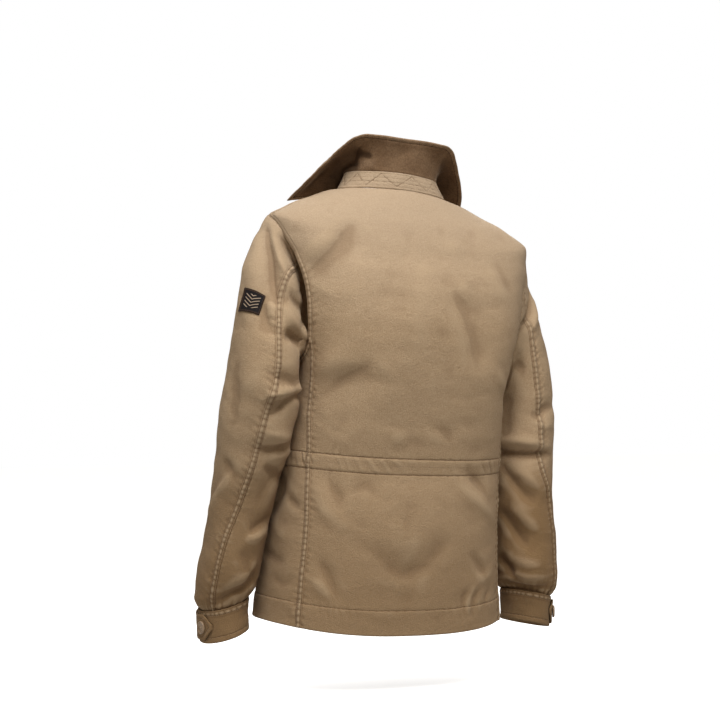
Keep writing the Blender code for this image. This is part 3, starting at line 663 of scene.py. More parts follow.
# %% The folds
BODY_FOLDS = (
    (38, 16, 1.9, ((63, -38, -0.4), (59, -58, -6.1), (50, -90, -7.6), (38, -120, -6.1),
        (25, -146, -0.8))),
    (16, 16, 2, ((52, -48, 0.5), (44, -82, 2.4), (24, -114, 0.5))),
    (36, 15, 1.9, ((70, -248, -0.4), (60, -266, -5.9), (47, -282, -6.9), (25, -308, -0.4))),
    (16, 14, 2, ((21, -278, 0.6), (36, -256, 3), (52, -232, 0.6))),
    (28, 24, 2, ((82, -48, -0.6), (76, -128, -2.8), (66, -202, -0.3))),
    (24, 22, 2, ((90, -78, 0.4), (87, -184, 2), (89, -270, 0.4))),
    (40, 17, 1.9, ((96, -124, -0.7), (99, -150, -4.7), (102, -182, -6.5), (106, -220, -5.6),
        (109, -260, 0))),
    (11, 11, 2, ((98, -114, 0.4), (100, -124, 2.1), (103, -142, 0.4))),
    (16, 14, 2, ((113, -76, 0.2), (120, -118, 2), (132, -156, 0.2))),
    (14, 14, 2, ((120, -68, -0.2), (125, -102, -1.8), (134, -136, -0.2))),
    (10, 10, 2, ((122, -252, 0.5), (133, -266, 2.4), (152, -280, 0.5))),
    (16, 14, 2, ((55, -310, -0.5), (50, -332, -2.4), (44, -358, -0.5))),
    (12, 10, 2, ((78, -362, 0.4), (82, -356, 2), (86, -362, 0.4))),
    (12, 10, 2, ((90, -332, -0.4), (96, -346, -2), (102, -360, -0.4))),
    (13, 10, 1.8, ((104, -408, 0.7), (117, -438, 3.6), (144, -474, 0.7))),
    (10, 10, 1.8, ((112, -398, -2.5), (120, -412, -5), (130, -434, -1))),
    (12, 10, 2, ((44, -412, -1.1), (50, -434, -3.6), (55, -458, -0.7))),
    (12, 10, 2, ((33, -416, 0.9), (41, -452, 2.9), (52, -474, 2.4), (60, -480, 0.9))),
    (13, 11, 2, ((56, -432, -0.6), (67, -420, -3), (76, -434, -0.6))),
    (18, 14, 2, ((60, -494, -0.6), (75, -516, -2.7), (86, -538, -3.2), (95, -514, -2.5),
        (103, -486, -0.6))),
    (26, 26, 2, ((78, -464, 1.4), (86, -496, 3.4), (91, -464, 1.4))),
    (10, 9, 1.9, ((42, -520, -1), (50, -550, -3.4), (56, -578, -1))),
    (9, 9, 2, ((38, -548, 0.5), (46, -564, 2.4), (54, -580, 0.5))),
    (10, 9, 2, ((114, -508, -0.6), (122, -534, -3.2), (131, -562, -0.6))),
    (9, 9, 2, ((118, -538, 0.5), (126, -552, 2.6), (140, -540, 0.5))),
    (9, 8, 2, ((10, -442, -1), (19, -454, -3.2), (26, -460, -1))),
    (10, 10, 2, ((-2, -406, -1.4), (2, -428, -3.5), (3, -452, -0.7))),
    (12, 10, 2, ((-17, -464, 0.5), (7, -492, 2.4), (22, -512, 0.5))),
    (10, 9, 2, ((-16, -516, -0.5), (6, -532, -2.6), (22, -536, -0.5))),
    (9, 8, 2, ((4, -560, -0.4), (18, -566, -2), (30, -558, -0.4))),
    (6, 6, 2, ((110, -600, -0.5), (110, -578, -1.6), (114, -560, -0.2))),
    (6, 6, 2, ((116, -600, -0.5), (118, -578, -1.6), (124, -562, -0.2))),
    (5, 5, 2, ((112, -598, 0.4), (114, -578, 1.2), (118, -562, 0.1))),
    (6, 6, 2, ((125, -598, -0.4), (128, -580, -1.4), (134, -568, -0.1))),
    (20, 16, 2, ((166, -250, 0), (157, -275, -4), (146, -305, -0.5))),
    (24, 18, 2, ((-38, -240, -0.5), (-49, -290, -5), (-62, -345, -0.5))),
    (24, 18, 2, ((-142, -240, -0.5), (-131, -290, -5), (-118, -345, -0.5))),
    (16, 12, 1.8, ((-28, -412, -1), (-40, -450, -4.5), (-54, -520, -0.5))),
    (14, 12, 1.8, ((-34, -412, 0.5), (-50, -450, 3), (-66, -500, 0.5))),
    (16, 12, 1.8, ((-152, -412, -1), (-140, -455, -4.5), (-126, -525, -0.5))),
    (13, 10, 1.8, ((-66, -140, -0.5), (-50, -186, -4), (-33, -218, -4.5))),
    (13, 10, 1.8, ((-114, -140, -0.5), (-130, -186, -4), (-147, -218, -4.5))),
    (13, 11, 1.8, ((-60, -170, 0.5), (-46, -210, 3), (-36, -250, 0.5))),
    (11, 9, 1.8, ((8, -412, -1), (2, -455, -4), (-10, -505, -0.5))),
    (11, 9, 1.8, ((172, -412, -1), (178, -455, -4), (190, -505, -0.5))),
    (12, 9, 1.8, ((4, -262, -1), (-6, -300, -3.6), (-18, -345, -0.5))),
    (12, 9, 1.8, ((176, -262, -1), (186, -300, -3.6), (198, -345, -0.5))),
    (20, 20, 2, ((-75, -430, 0), (-72, -480, 2.2), (-70, -540, 0))),
    (20, 20, 2, ((-105, -430, 0), (-108, -490, 2.2), (-110, -550, 0))),
)
LEFT_FOLDS = (
    (28, 26, 2, ((0.3, 0.1, 3.7), (0.8, 0.6, 4.5), (1, 1.2, 5.1), (0.9, 2.1, 4.7), (0.8, 3, 0.5))),
    (6, 12, 1.6, ((0.7, 0.2, 0), (1.6, 0.6, -7.4), (2.8, 1, -11.6), (3.7, 1.6, -11.9),
        (4.2, 2, -9.8), (4.8, 2.6, -4.3))),
    (9, 9, 1.5, ((1.2, 0.3, 2.2), (2.9, 0.7, 6.5), (4.2, 0.9, 7.2), (5.4, 1.2, 4.7),
        (5.9, 1.4, 1.5))),
    (9, 8, 1.5, ((2.1, 0.2, -1.7), (3.2, 0.2, -13.5), (4.2, 0.2, -16.4), (5, 0.2, -16.4),
        (5.6, 0.2, -15.2), (6.5, 0.2, -14.2))),
    (12, 8, 1.6, ((4.8, 0, -6.1), (6, 0, -18.9), (7.2, 0, -20.1), (8.2, 0, -18.7),
        (8.8, 0.1, -18.3))),
    (8, 14, 1.7, ((3, 2.8, -2), (3.2, 3.2, -6.3), (3.8, 3.6, -5.6), (4.7, 3.5, -2))),
    (10, 10, 1.8, ((4, 2.4, 1.3), (4, 2.8, 4.3), (4, 3.2, 1.3))),
    (6, 10, 1.4, ((5, 2.2, 1.7), (6.4, 2, 4.2), (8.1, 1.5, 4.1), (9.5, 0.7, 3.5))),
    (9, 6, 1.6, ((5.9, 1.1, -6.9), (7.1, 0.7, -13.8), (8.4, 0.1, -12.4))),
    (9, 11, 1.8, ((6.8, 2.7, -11.6), (8.5, 1.8, -14.5), (9.8, 0.8, -13.1))),
    (14, 7, 1.6, ((4.4, 5.5, -2), (5.7, 5.4, -6.5), (8.5, 5.1, -5.9))),
    (8, 8, 1.25, ((4.2, 6.7, 2.4), (5.1, 6.2, 9), (6.7, 5.8, 9.2), (10.1, 4.7, 9.4))),
    (6, 16, 1.5, ((10.5, 5.1, -9.4), (7.6, 6.1, -9.1), (6.4, 6.9, -9.3), (5, 7.7, -2.4))),
    (22, 22, 2, ((2.4, 5.2, 1.1), (3.1, 6, 3.8), (4.1, 7, 1.1))),
    (13, 13, 2, ((1.2, 5.8, -1), (1.5, 6.9, -3.2), (1.9, 8.3, -1))),
    (16, 8, 1.5, ((4.8, 8.7, 1.7), (6.3, 8.7, 5.8), (8.8, 8.8, 5.2))),
    (6, 15, 1.5, ((4.7, 9.8, -2), (6, 9.7, -9.9), (7.5, 9.5, -9.7), (8.8, 9.2, -10.2))),
    (9, 9, 1.6, ((6.5, 10.2, 1.2), (8.1, 10, 5.8), (10.8, 9.5, 5.2))),
    (8, 14, 1.8, ((6.1, 10.8, -1.9), (7.7, 11, -6.4), (10.7, 11.2, -5.1))),
    (7, 10, 1.6, ((0.9, 10.5, 0), (2, 11, -3.7), (2.9, 11.5, -1.5))),
    (22, 7, 1.4, ((28.6, 11.4, 1.8), (27.9, 12.1, 5.6), (27.1, 12.7, 5.9), (25.8, 13.5, 3.7))),
    (12, 20, 1.8, ((8.8, 11.2, -2.6), (7.5, 12.5, -5.2), (7, 13.8, -1.6))),
    (16, 6, 1.5, ((7.3, 15.4, -1.3), (8.3, 15.1, -6.3), (10.2, 14.5, -5.1))),
    (7, 14, 1.5, ((7, 15.9, 1), (8.3, 15.7, 4.9), (10, 15.4, 3))),
    (24, 24, 2, ((2.9, 14.5, 1), (4.7, 15.7, 3.2), (5.5, 16.9, 1))),
    (18, 10, 1.7, ((6.6, 16.3, -1.4), (8, 17.3, -4.6), (9.1, 18.3, -1.9))),
    (16, 6, 1.5, ((5.2, 19.6, -2.6), (6.2, 19.4, -7.2), (7.2, 19.2, -8.7), (8.5, 19.1, -8),
        (9.7, 18.8, -6.1))),
    (14, 9, 1.6, ((5.5, 18.9, 1.6), (6.8, 18.7, 4.9), (8.1, 18.4, 5.1), (9.1, 17.8, 4.2))),
    (8, 11, 1.6, ((25.2, 0.6, -1.5), (24.6, 2.4, -5.5), (24.2, 4.6, -1))),
    (9, 9, 1.5, ((24.2, 0.8, 1), (23.2, 2.6, 4), (22.6, 4.4, 0.5))),
    (8, 11, 1.6, ((22, 0.6, -2), (20.6, 2, -5), (19.4, 3.6, -2))),
    (9, 8, 1.5, ((23.5, 9.6, -0.2), (21.5, 10.3, -5), (17.5, 10.2, -6.5), (14, 9.4, -1))),
    (9, 9, 1.5, ((23.5, 8.2, 0.2), (21, 8.8, 4), (17.5, 8.7, 4), (14.5, 8, 0.5))),
    (9, 8, 1.5, ((23.5, 12.2, -0.5), (20, 11.8, -5), (15.5, 12.4, -5.5), (12, 13.2, -0.5))),
    (9, 9, 1.6, ((22.5, 14.2, -0.5), (19, 15, -4.5), (15, 15.2, -0.5))),
    (9, 9, 1.6, ((24, 16.4, -0.2), (22, 17.2, -4), (18, 17, -0.5))),
    (8, 8, 1.5, ((24, 18.9, -1), (20, 18.6, -4.5), (15, 18.8, -4.5), (11, 18.9, -1))),
    (10, 10, 1.7, ((24, 17.6, 0.5), (19, 17.5, 3), (14, 17.7, 0.5))),
)
RIGHT_FOLDS = (
    (8, 6, 1.6, ((1.5, 1.3, -2.9), (2.9, 1.7, -7.1), (5, 1.6, -6.2), (7.4, 0.3, -2.9))),
    (9, 9, 1.6, ((1.5, 2.1, 2.3), (3.1, 2.4, 5.8), (4.9, 2.5, 1.7))),
    (9, 9, 2, ((8.1, 2.3, -2.6), (7.8, 3.1, -6.5), (7.5, 3.8, -2.6))),
    (8, 12, 1.6, ((2.1, 7.2, -1.2), (4, 7.2, -5.5), (4.9, 7.3, -5.4), (6.2, 7, -1.2))),
    (11, 11, 1.6, ((2.9, 8.3, 1.3), (4.2, 8.2, 4.2), (5.6, 7.7, 0.9))),
    (14, 11, 2, ((9.5, 4.2, -3.3), (9.6, 6.2, -6.7), (9.9, 7.9, -4.7))),
    (16, 7, 1.4, ((10.1, 8.5, 4.3), (8.1, 8.8, 6.9), (6.1, 9.2, 6.8), (4.1, 9.7, 1.5))),
    (5, 13, 1.4, ((10.9, 9.3, -11.1), (8.8, 9.6, -11.7), (6.5, 9.8, -12.2), (4.4, 10, -8.7),
        (3.1, 10.3, -3.1))),
    (16, 8, 1.6, ((10.7, 10.7, -5.1), (9.6, 12, -7.1), (8.5, 13, -6.2), (7.2, 13.6, -1.5))),
    (16, 9, 1.6, ((9.1, 10.6, 1.4), (7.4, 11.6, 4.6), (6.2, 12.6, 1.4))),
    (16, 8, 1.6, ((11.9, 14.4, -4.9), (10.9, 15.4, -6.8), (9.8, 16.2, -6.1), (8.7, 16.7, -1.4))),
    (16, 9, 1.6, ((10.3, 13.8, 1.3), (8.8, 14.8, 4.3), (7.5, 15.6, 1.3))),
    (10, 8, 1.7, ((12.5, 17.9, -7.8), (11.6, 18.4, -8.7), (10.6, 18.9, -1.7))),
    (14, 10, 1.6, ((10.7, 17.6, 1.3), (9, 17.9, 4.3), (7.1, 18, 1.3))),
    (6, 9, 1.5, ((11.9, 19.5, -3.6), (10.1, 19.7, -6.9), (8.2, 19.7, -6.8), (6.3, 19.4, -2.9))),
    (12, 7, 1.5, ((11, 18.7, 1.3), (9, 18.9, 4.3), (6.6, 18.7, 1.3))),
    (8, 11, 1.6, ((25.2, 0.6, -1.5), (24.4, 2.6, -5), (24, 4.8, -1))),
    (9, 9, 1.5, ((24, 0.8, 1), (23, 2.8, 4), (22.4, 4.6, 0.5))),
    (8, 11, 1.6, ((21.8, 0.6, -2), (20.4, 2.2, -5), (19.2, 3.8, -2))),
    (9, 8, 1.5, ((23.8, 9.4, -0.2), (22, 9.8, -5), (18, 10.4, -6.5), (14.5, 10, -1))),
    (9, 9, 1.5, ((24, 7.6, 0.5), (21, 8.4, 4.5), (17.5, 8.8, 4), (14.5, 8.4, 0.5))),
    (9, 8, 1.5, ((23.5, 11.6, -0.5), (20, 11.9, -5), (16, 11.6, -4.5), (12, 12.6, -0.5))),
    (9, 9, 1.6, ((22.5, 14, -0.5), (19, 14.7, -4.5), (15, 14.6, -0.5))),
    (9, 9, 1.6, ((25, 16.4, -0.5), (21.5, 16.9, -4), (17, 16.6, -0.5))),
    (8, 8, 1.5, ((24, 18.8, -1), (20, 18.6, -4), (15, 18.7, -4.5), (11, 18.9, -1))),
)
LEAF_FOLDS = (
    (12, 6, 1.6, ((56, 0.59, -3.8), (72, 0.16, -7.4), (106, 0.00, -7.1), (126, 0.19, -6))),
    (10, 10, 2, ((66, 0.09, 0.4), (46, 0.16, 1.8), (30, 0.29, 0.4))),
    (8, 7, 2, ((57, 0.41, -2), (44, 0.37, -3.4), (36, 0.39, -0.7))),
    (9, 9, 2, ((76, 0.58, 0.9), (98, 0.29, 3), (121, 0.48, 0.9))),
    (7, 7, 2, ((114, 0.66, -0.5), (124, 0.79, -1.8), (134, 0.87, -0.5))),
)
SLEEVE_FOLDS = {"left": LEFT_FOLDS, "right": RIGHT_FOLDS}
print("folds on the body:", len(BODY_FOLDS), "and on the sleeves:", len(LEFT_FOLDS + RIGHT_FOLDS))

# %% [markdown]
# ## What a seam looks like
#
# On washed canvas the sewn layers shrink and the thread doesn't. So a felled seam is a low band
# between two rows of stitches, and the cloth between the rows swells into a chain of small beads.
# Beyond the band, short puckers run out and fade. A hem and a casing pucker in the same way.

# %% Seams and puckers
BEAD = 8.4
SEAM_BAND = 7.8
SEAM_ROWS = (1.4, 6.2)
EDGE_IN, OPENING_IN, CUFF_IN, TAB_IN, TAB_SIDE_IN = 6.0, 7.0, 7.0, 5.0, 4.6
LEAF_IN, PATCH_IN = 5.2, 1.4
BEAD_LINE = sum(SEAM_ROWS) / 2


def bump(value, centre, width):
    return np.exp(-(((value - centre) / width) ** 2))


def ripple(run, length, shift=0.0):
    return np.sin(2 * np.pi * run / length + shift)


def pleats(run, long, short, shift):
    """Two waves along a line, so that its pleats are uneven."""
    return ripple(run, long) + 0.6 * ripple(run, short, shift)


def begins(run, first):
    """A share that is 0 before `first` along a line and 1 soon after, or 1 all along."""
    return np.ones(run.shape) if first is None else ease(run, first, first + 55)


def felled(distance, run, rise=0.8, beads=0.75, puckers=0.5, first=None):
    """The upper cloth of a felled seam. Beads and puckers start at `first` along it."""
    share = begins(run, first)
    uneven = share * (1 + 0.30 * np.sin(run / 13.0 + 1) + 0.22 * np.sin(run / 5.3))
    bead = np.abs(np.sin(np.pi * drift(run) / BEAD)) ** 0.7
    push = rise * (1 - ease(distance, SEAM_BAND - 1.0, SEAM_BAND + 1.2))
    push += beads * uneven * bead * bump(distance, BEAD_LINE, 2.1)
    push -= (0.12 + 0.33 * share) * sum(bump(distance, row, 0.85) for row in SEAM_ROWS)
    beyond = np.exp(-np.abs(distance - 9.0) / 7.0) * ease(distance, 6.5, 9.0)
    wave = ripple(drift(run + 0.35 * distance), 1.25 * BEAD)
    push += puckers * uneven * wave * beyond - 0.3 * share * bump(distance, 10.0, 2.6)
    return push, {"seam": distance, "bead": share}


def tucked(distance, run, drop=0.75, puckers=0.5, first=None):
    """The lower cloth of a felled seam, which goes in under the upper one."""
    share = begins(run, first)
    uneven = share * (1 + 0.35 * np.sin(run / 17.0) + 0.25 * np.sin(run / 6.1 + 1))
    wave = ripple(drift(run + 3.0), 1.1 * BEAD)
    beyond = np.exp(-distance / 7.5) * ease(distance, 0.3, 2.5)
    push = -drop * (1 - ease(distance, 0.2, 3.4)) + puckers * uneven * wave * beyond
    return push, {"row": distance - 0.4}


def edge_stitched(distance, run, row=EDGE_IN, roll=0.35, puckers=0.2):
    """A turned edge with one row of stitches."""
    push = roll * bump(distance, 1.6, 1.8) - 0.38 * bump(distance, row, 0.9)
    push += 0.22 * bump(distance, row / 2, row / 3)
    push += puckers * ripple(drift(run), 7.3) * bump(distance, row, 3.6)
    return push, {"row": distance - row}


def patchy(run):
    """A share from 0 to 1 that comes and goes along a band, so puckers gather in places."""
    return np.clip(0.45 + 0.4 * np.sin(run / 29.0 + 0.6) + 0.3 * np.sin(run / 12.3 + 2.2), 0, 1)


def hem(above, run):
    """The hem, by the height above its edge."""
    band = HEM_STITCH - HEM
    push = 0.6 * (1 - ease(above, band - 1.5, band + 1.0)) - 0.5 * bump(above, band, 1.0)
    wave = ripple(drift(run) + 0.2 * above, 12.0)
    push += patchy(run + 60) * wave * (
        0.22 * bump(above, band * 0.6, band * 0.5) + 0.3 * np.exp(-np.abs(above - band) / 6.0))
    return push + 0.3 * bump(above, 1.6, 2.2), {"row": above - band}


def casing(above, run):
    """The waist casing, by the height above its lower row of stitches."""
    depth = CASING_TOP - CASING_LOW
    between = ease(above, 0, 4.0) * (1 - ease(above, depth - 4.0, depth))
    pucker = pleats(drift(run) + 0.75 * above, 19.0, 9.7, 1.1)
    push = 0.65 * between - 0.7 * (bump(above, 0, 1.0) + bump(above, depth, 1.0))
    push += 0.7 * patchy(run) * pucker * between
    wave = pleats(drift(run), 15.0, 8.3, 2)
    beyond = np.exp(-np.abs(above + 1.5) / 9.0) * (above < 0)
    beyond = beyond + np.exp(-np.abs(above - depth - 1.5) / 9.0) * (above > depth)
    push += 0.32 * patchy(run + 90) * wave * beyond
    return push, {"row": np.where(above < depth / 2, above, above - depth)}


def rumple(points, seed, sizes, amount):
    """Soft dents of about the given sizes in any direction, the same for pieces that meet."""
    rng = np.random.default_rng(seed)
    total = np.zeros(points.shape[:-1])
    for _ in range(14):
        way = unit(rng.normal(size=3))
        total += np.sin(points @ way * 2 * np.pi / rng.uniform(*sizes) + rng.uniform(0, 2 * np.pi))
    return amount * total / math.sqrt(14)


SOFT_DENTS, SMALL_DENTS = (5, (34, 80)), (6, (14, 30))


def dents(points, soft, small):
    """Soft and small dents together, each from its own seed and sizes."""
    return rumple(points, *SOFT_DENTS, soft) + rumple(points, *SMALL_DENTS, small)


for row in SEAM_ROWS:
    push, _ = felled(np.array([row]), np.array([0.0]))
    print("a stitch row at", row, "mm lies", round(float(push[0]), 2), "mm out")

# %% [markdown]
# ## Pieces with a name
#
# A panel with its push becomes a mesh object with what its material needs. Its UV map is in metres
# along and across the cloth, so that the weave has one size on every piece. Four attributes say how
# far a point is from a seam and a stitch row and where along them it lies. `relief` tells raised
# cloth, which wears, from hollow cloth, which gets painted shade, and one more attribute says where
# painted shade darkens the forearms, the cuffs and the bend of the collar.

# %% Making a piece
PIECES = {}
RELIEF_ROUNDS, RELIEF_RANGE = 14, 1.6


def lengths(panel):
    """Lengths in millimetres along the cloth, across and up, from the middle of the piece."""
    across = np.linalg.norm(np.diff(panel.base, axis=1), axis=-1)
    across = np.pad(np.cumsum(across, axis=1), ((0, 0), (1, 0)))
    across -= across[:, across.shape[1] // 2][:, None]
    up = np.linalg.norm(np.diff(panel.base, axis=0), axis=-1).mean(axis=1)
    up = np.concatenate([[0.0], np.cumsum(up)])
    return across, np.broadcast_to(up[:, None], across.shape)


def soften(grid, rounds, wrap):
    """Evens a grid out, by so many rounds of averages."""
    for _ in range(rounds):
        pad = np.pad(grid, 1, mode="edge")
        if wrap:
            pad[1:-1, 0], pad[1:-1, -1] = grid[:, -1], grid[:, 0]
        grid = (pad[:-2, 1:-1] + pad[2:, 1:-1] + pad[1:-1, :-2] + pad[1:-1, 2:]) / 4
    return grid


def in_scene(name, data):
    """A new object in the scene, with its origin at the world's."""
    thing = bpy.data.objects.new(name, data)
    bpy.context.scene.collection.objects.link(thing)
    return thing


def stands_for(node, suffix, mesh):
    """A smooth mesh as the object that takes the place of a solid."""
    mesh.shade_smooth()
    piece = PIECES[node] = in_scene(node + suffix, mesh)
    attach(piece, "root")
    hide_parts(node)


def make(panel, wall):
    """Settles a panel and makes it a mesh object that takes the place of its solid."""
    panel.settle(wall)
    places, faces, source = wall_mesh(panel)
    mesh = bpy.data.meshes.new(panel.name)
    mesh.from_pydata((places * MM).tolist(), [], faces.tolist())
    across, up = lengths(panel)
    relief = panel.push - soften(panel.push, RELIEF_ROUNDS, panel.wrap)
    relief = np.clip(0.5 + relief / RELIEF_RANGE, 0, 1)
    values = {**panel.marks, "relief": relief, "unfaded": panel.unfaded}
    corners = source[[v for face in mesh.polygons for v in face.vertices]]
    uv = np.stack([across.ravel()[corners], up.ravel()[corners]], axis=-1) * MM
    mesh.uv_layers.new(name="cloth").data.foreach_set("uv", uv.ravel().astype(np.float32))
    for name, value in values.items():
        data = mesh.attributes.new(name, "FLOAT", "POINT").data
        data.foreach_set("value", value.ravel()[source].astype(np.float32))
    stands_for(panel.name, "_cloth", mesh)
    print(f"{panel.name}: {2 * len(faces)} triangles")


# %% [markdown]
# ## The back and the fronts
#
# The back is one piece from the neck to the hem. Each front starts at the side seam, goes under the
# arm and on to the middle of the chest, so its grid has two parts. The part under the arm ends at
# the armhole. The rows are spread by the length of the cloth, because one step in height is longer
# over the shoulders than down the back.

# %% Rows and columns of the body
FINE = 1.0
BODY_DENTS, SLEEVE_DENTS = (0.42, 0.13), (0.6, 0.16)
BEADS_BEGIN = 60
BODY_ROWS = 2.55 * FINE
BODY_INSIDE = np.array([6.0, -10.0, -300.0])
HEM_RADIUS = 168


def grid_lines(count):
    return int(count / FINE)


def body_heights(low, high, marks):
    """Heights of rows at even lengths up the cloth, closer together near the marks."""
    fine = np.linspace(low, high, 2000)
    length = arc(body(58.0, fine))
    near_marks = np.interp(marks, fine, length)
    return np.interp(graded(length[-1], BODY_ROWS, 1.5 * FINE, near_marks, 2.5, 9.0), length, fine)


def seam_columns(width, coarse, both=True):
    """Shares from 0 to 1 across a piece, closer together near its seams."""
    marks = [0, width] if both else [0]
    return graded(width, coarse * FINE, 1.2 * FINE, marks, 9.5, 30) / width


def armhole_line(side, first):
    """The armhole from the shoulder, the first or the last step, down to the underarm."""
    return lifted(armhole(side, np.linspace(first, UNDER_FROM, 400)))


LOW_HEIGHTS = body_heights(HEM, SIDE_SEAM_TOP, [HEM, HEM_STITCH, CASING_LOW, CASING_TOP])
HIGH_HEIGHTS = body_heights(SIDE_SEAM_TOP, NECK, [NECK, SHOULDER_POINT])
HEIGHTS = np.concatenate([LOW_HEIGHTS, HIGH_HEIGHTS[1:]])
print("rows of the body:", len(HEIGHTS))


def band_relief(panel, angles, heights, share=1.0):
    """The hem and the casing of a body panel."""
    run = np.radians(angles) * HEM_RADIUS + 0 * heights
    for push, marks in (hem(heights - HEM, run), casing(heights - CASING_LOW, run)):
        panel.push += push * share
        panel.mark(run, share + 0 * run > 0.5, **marks)


# %% The back
def back_edge(height):
    return np.where(
        height < SIDE_SEAM_TOP, read(SEAM, "back_seam", height), read(SEAM, "armhole_back", height),
    )


def side_seam(side):
    heights = np.linspace(HEM, SIDE_SEAM_TOP, 400)
    return lifted(body(side_angle(side, back_edge(heights)), heights))


def shoulder_seam(side):
    heights = np.linspace(SHOULDER_POINT, NECK, 120)
    return lifted(body(side_angle(side, np.zeros(120)), heights))


back_heights = HEIGHTS[:, None]
start = back_edge(back_heights)
back_angles = start + seam_columns(400, 3.0) * (180 - 2 * start)
back_heights = back_heights + 0 * back_angles
back = Panel("back", body(back_angles, back_heights), BODY_INSIDE)
back.stretch(("left", "right"), 1.0)
for side in SIDE:
    back.seam(side_seam(side), felled)
    back.seam(armhole_line(side, 0), felled, rise=0.15, first=BEADS_BEGIN)
    back.seam(shoulder_seam(side), felled, rise=0.2, beads=0.0, puckers=0.12)
band_relief(back, back_angles, back_heights)
back.push += dents(back.base, *BODY_DENTS)
back.fold(BODY_FOLDS, body)
make(back, CLOTH_WALL)

# %% The fronts
fronts, front_columns = {}, {}
OPEN_ROWS = HEIGHTS > PLACKET_TOP + 4
for side in SIDE:
    heights = HEIGHTS[:, None]
    seam, inner = back_edge(heights), read(SEAM, "armhole_front", heights)
    width = 115.0
    share = seam_columns(width, 4.2, both=False)[:-1]
    under_angles = seam + share * (inner - seam)
    under_heights = under_armhole(share, heights)
    edge = front_angle(read(SEAM, "front_open", heights), heights)
    share = graded(170, 4.4 * FINE, 1.6 * FINE, [0, 170], 8, 30) / 170
    angles = np.concatenate([under_angles, inner + share * (edge - inner)], axis=1)
    levels = np.concatenate([under_heights, heights + 0 * share], axis=1)
    count = front_columns[side] = under_angles.shape[1]
    cut = np.zeros((len(HEIGHTS) - 1, angles.shape[1] - 1), bool)
    cut[len(LOW_HEIGHTS) - 1:, :count] = True
    turned = side_angle(side, angles)
    front = Panel("front_" + side, body(turned, levels), BODY_INSIDE, cut=cut)
    front.seam(side_seam(side), tucked)
    front.seam(armhole_line(side, LAST_STEP), felled, rise=0.15, first=BEADS_BEGIN)
    front.seam(shoulder_seam(side), tucked, drop=0.4, puckers=0.12)
    from_middle = np.abs(front.base[..., 0] - read(RING, "sway", levels))
    band_relief(front, turned, levels, ease(from_middle, 29, 36))
    front.seam(front.base[OPEN_ROWS, -1], edge_stitched, row=OPENING_IN)
    front.push += dents(front.base, *BODY_DENTS)
    front.fold(BODY_FOLDS, body)
    make(front, CLOTH_WALL)
    fronts[side] = front

# %% The placket
placket_rows = body_heights(HEM, PLACKET_TOP, [HEM, PLACKET_TOP])[:, None]
width = np.linspace(-PLACKET_WIDTH / 2, PLACKET_WIDTH / 2, grid_lines(30))
points = body(front_angle(width, placket_rows), placket_rows, PLACKET_OUT)
placket = Panel("placket", points, BODY_INSIDE)
for edge_line in (points[:, 0], points[:, -1], points[-1], points[0]):
    placket.seam(edge_line, edge_stitched)
placket.fold(BODY_FOLDS, body)
placket.push += dents(placket.base, *BODY_DENTS)
make(placket, STRAP_WALL)

# %% [markdown]
# ## The sleeves
#
# Each sleeve has an upper piece round its outer side and an under piece next to the body. Their
# back seam curves forward down the arm. The body's armhole edge lies over the sleeve, and the
# sleeve's lower end goes into the cuff with small gathers, so the cloth puffs out just above it.

# %% The sleeves


def sleeve_rows(side, step):
    """Rows of a sleeve at even lengths, closer together at its two ends."""
    fine = np.linspace(0, CUFF_ROW + 0.16, 1500)
    length = arc(sleeve(side, step, fine))
    places = graded(length[-1], 2.5 * FINE, 1.5 * FINE, [0, length[-1]], 9, 26)
    return np.interp(places, length, fine)[:, None]


def sleeve_middle(side, rows):
    return sleeve(side, np.arange(0, LAST_STEP), rows).mean(axis=1)[:, None]


def gathers(above, run):
    """The sleeve just above the cuff, and its end inside it."""
    pleat = pleats(drift(run), 13.0, 7.9, 1)
    push = 0.6 * pleat * np.exp(-np.abs(above - 3.0) / 8.0) * (above > -1)
    return push - 2.3 * (1 - ease(above, 0.5, 6.0)), {"row": above - 0.5}


# Painted shade on the forearms, stronger on the right sleeve, growing between these two rows.
SLEEVE_PAINTED_SHADE = {"left": 0.70, "right": 1.25}
PAINTED_SHADE_ROWS = (9.5, 13.5)


def make_sleeve(side):
    for name, first, last, relief in (
        ("upper", FRONT_STEP, LAST_STEP + BACK_STEP, felled),
        ("under", BACK_STEP, FRONT_STEP, tucked),
    ):
        rows = sleeve_rows(side, (first + last) / 2)
        steps = first + seam_columns(190, 3.1) * (last - first)
        grid = sleeve(side, steps, rows)
        panel = Panel(f"sleeve_{side}_{name}", grid, sleeve_middle(side, rows))
        if name == "upper":
            panel.stretch(("left", "right"), 1.0)
        seam_rows = np.linspace(0, CUFF_ROW + 0.1, 500)
        for step in (BACK_STEP, FRONT_STEP):
            panel.seam(lifted(sleeve(side, step, seam_rows)), relief)
        for step in (0, LAST_STEP):
            panel.seam(armhole_line(side, step), tucked, drop=0.1, first=BEADS_BEGIN)
        end = row_height(side, CUFF_ROW)
        level = row_height(side, rows) + 0 * steps
        around = arc(grid[len(rows) // 2])[None] + (0 if name == "upper" else 90)
        push, marks = gathers(level - end, around + 0 * level)
        panel.push += push
        panel.mark(around + 0 * level, level < end + 12, **marks)
        panel.push += dents(grid, *SLEEVE_DENTS)
        panel.fold(SLEEVE_FOLDS[side], lambda step, row: sleeve(side, step, row))
        # painted shade down the forearm
        panel.unfaded += SLEEVE_PAINTED_SHADE[side] * ease(rows, *PAINTED_SHADE_ROWS)
        make(panel, CLOTH_WALL)
        SLEEVES[side, name] = panel


SLEEVES = {}
for side in SIDE:
    make_sleeve(side)

# %% [markdown]
# ## The cuffs and their tabs
#
# A cuff is a closed band of doubled cloth. Its tab is a strap with a point, sewn over the outer
# side and held by one button, and it lies just off the cuff.

# %% The cuffs and tabs


def cuff_point(side, angle, down, out=0.0):
    return arm(side, angle, ARM[side]["height"][-2] - down, out)


def tab_tip(side):
    below = ARM[side]["height"][0] - ARM[side]["height"][-2]
    return float(read(SLEEVE_SEAM, side + "_back", below)) - 4.0


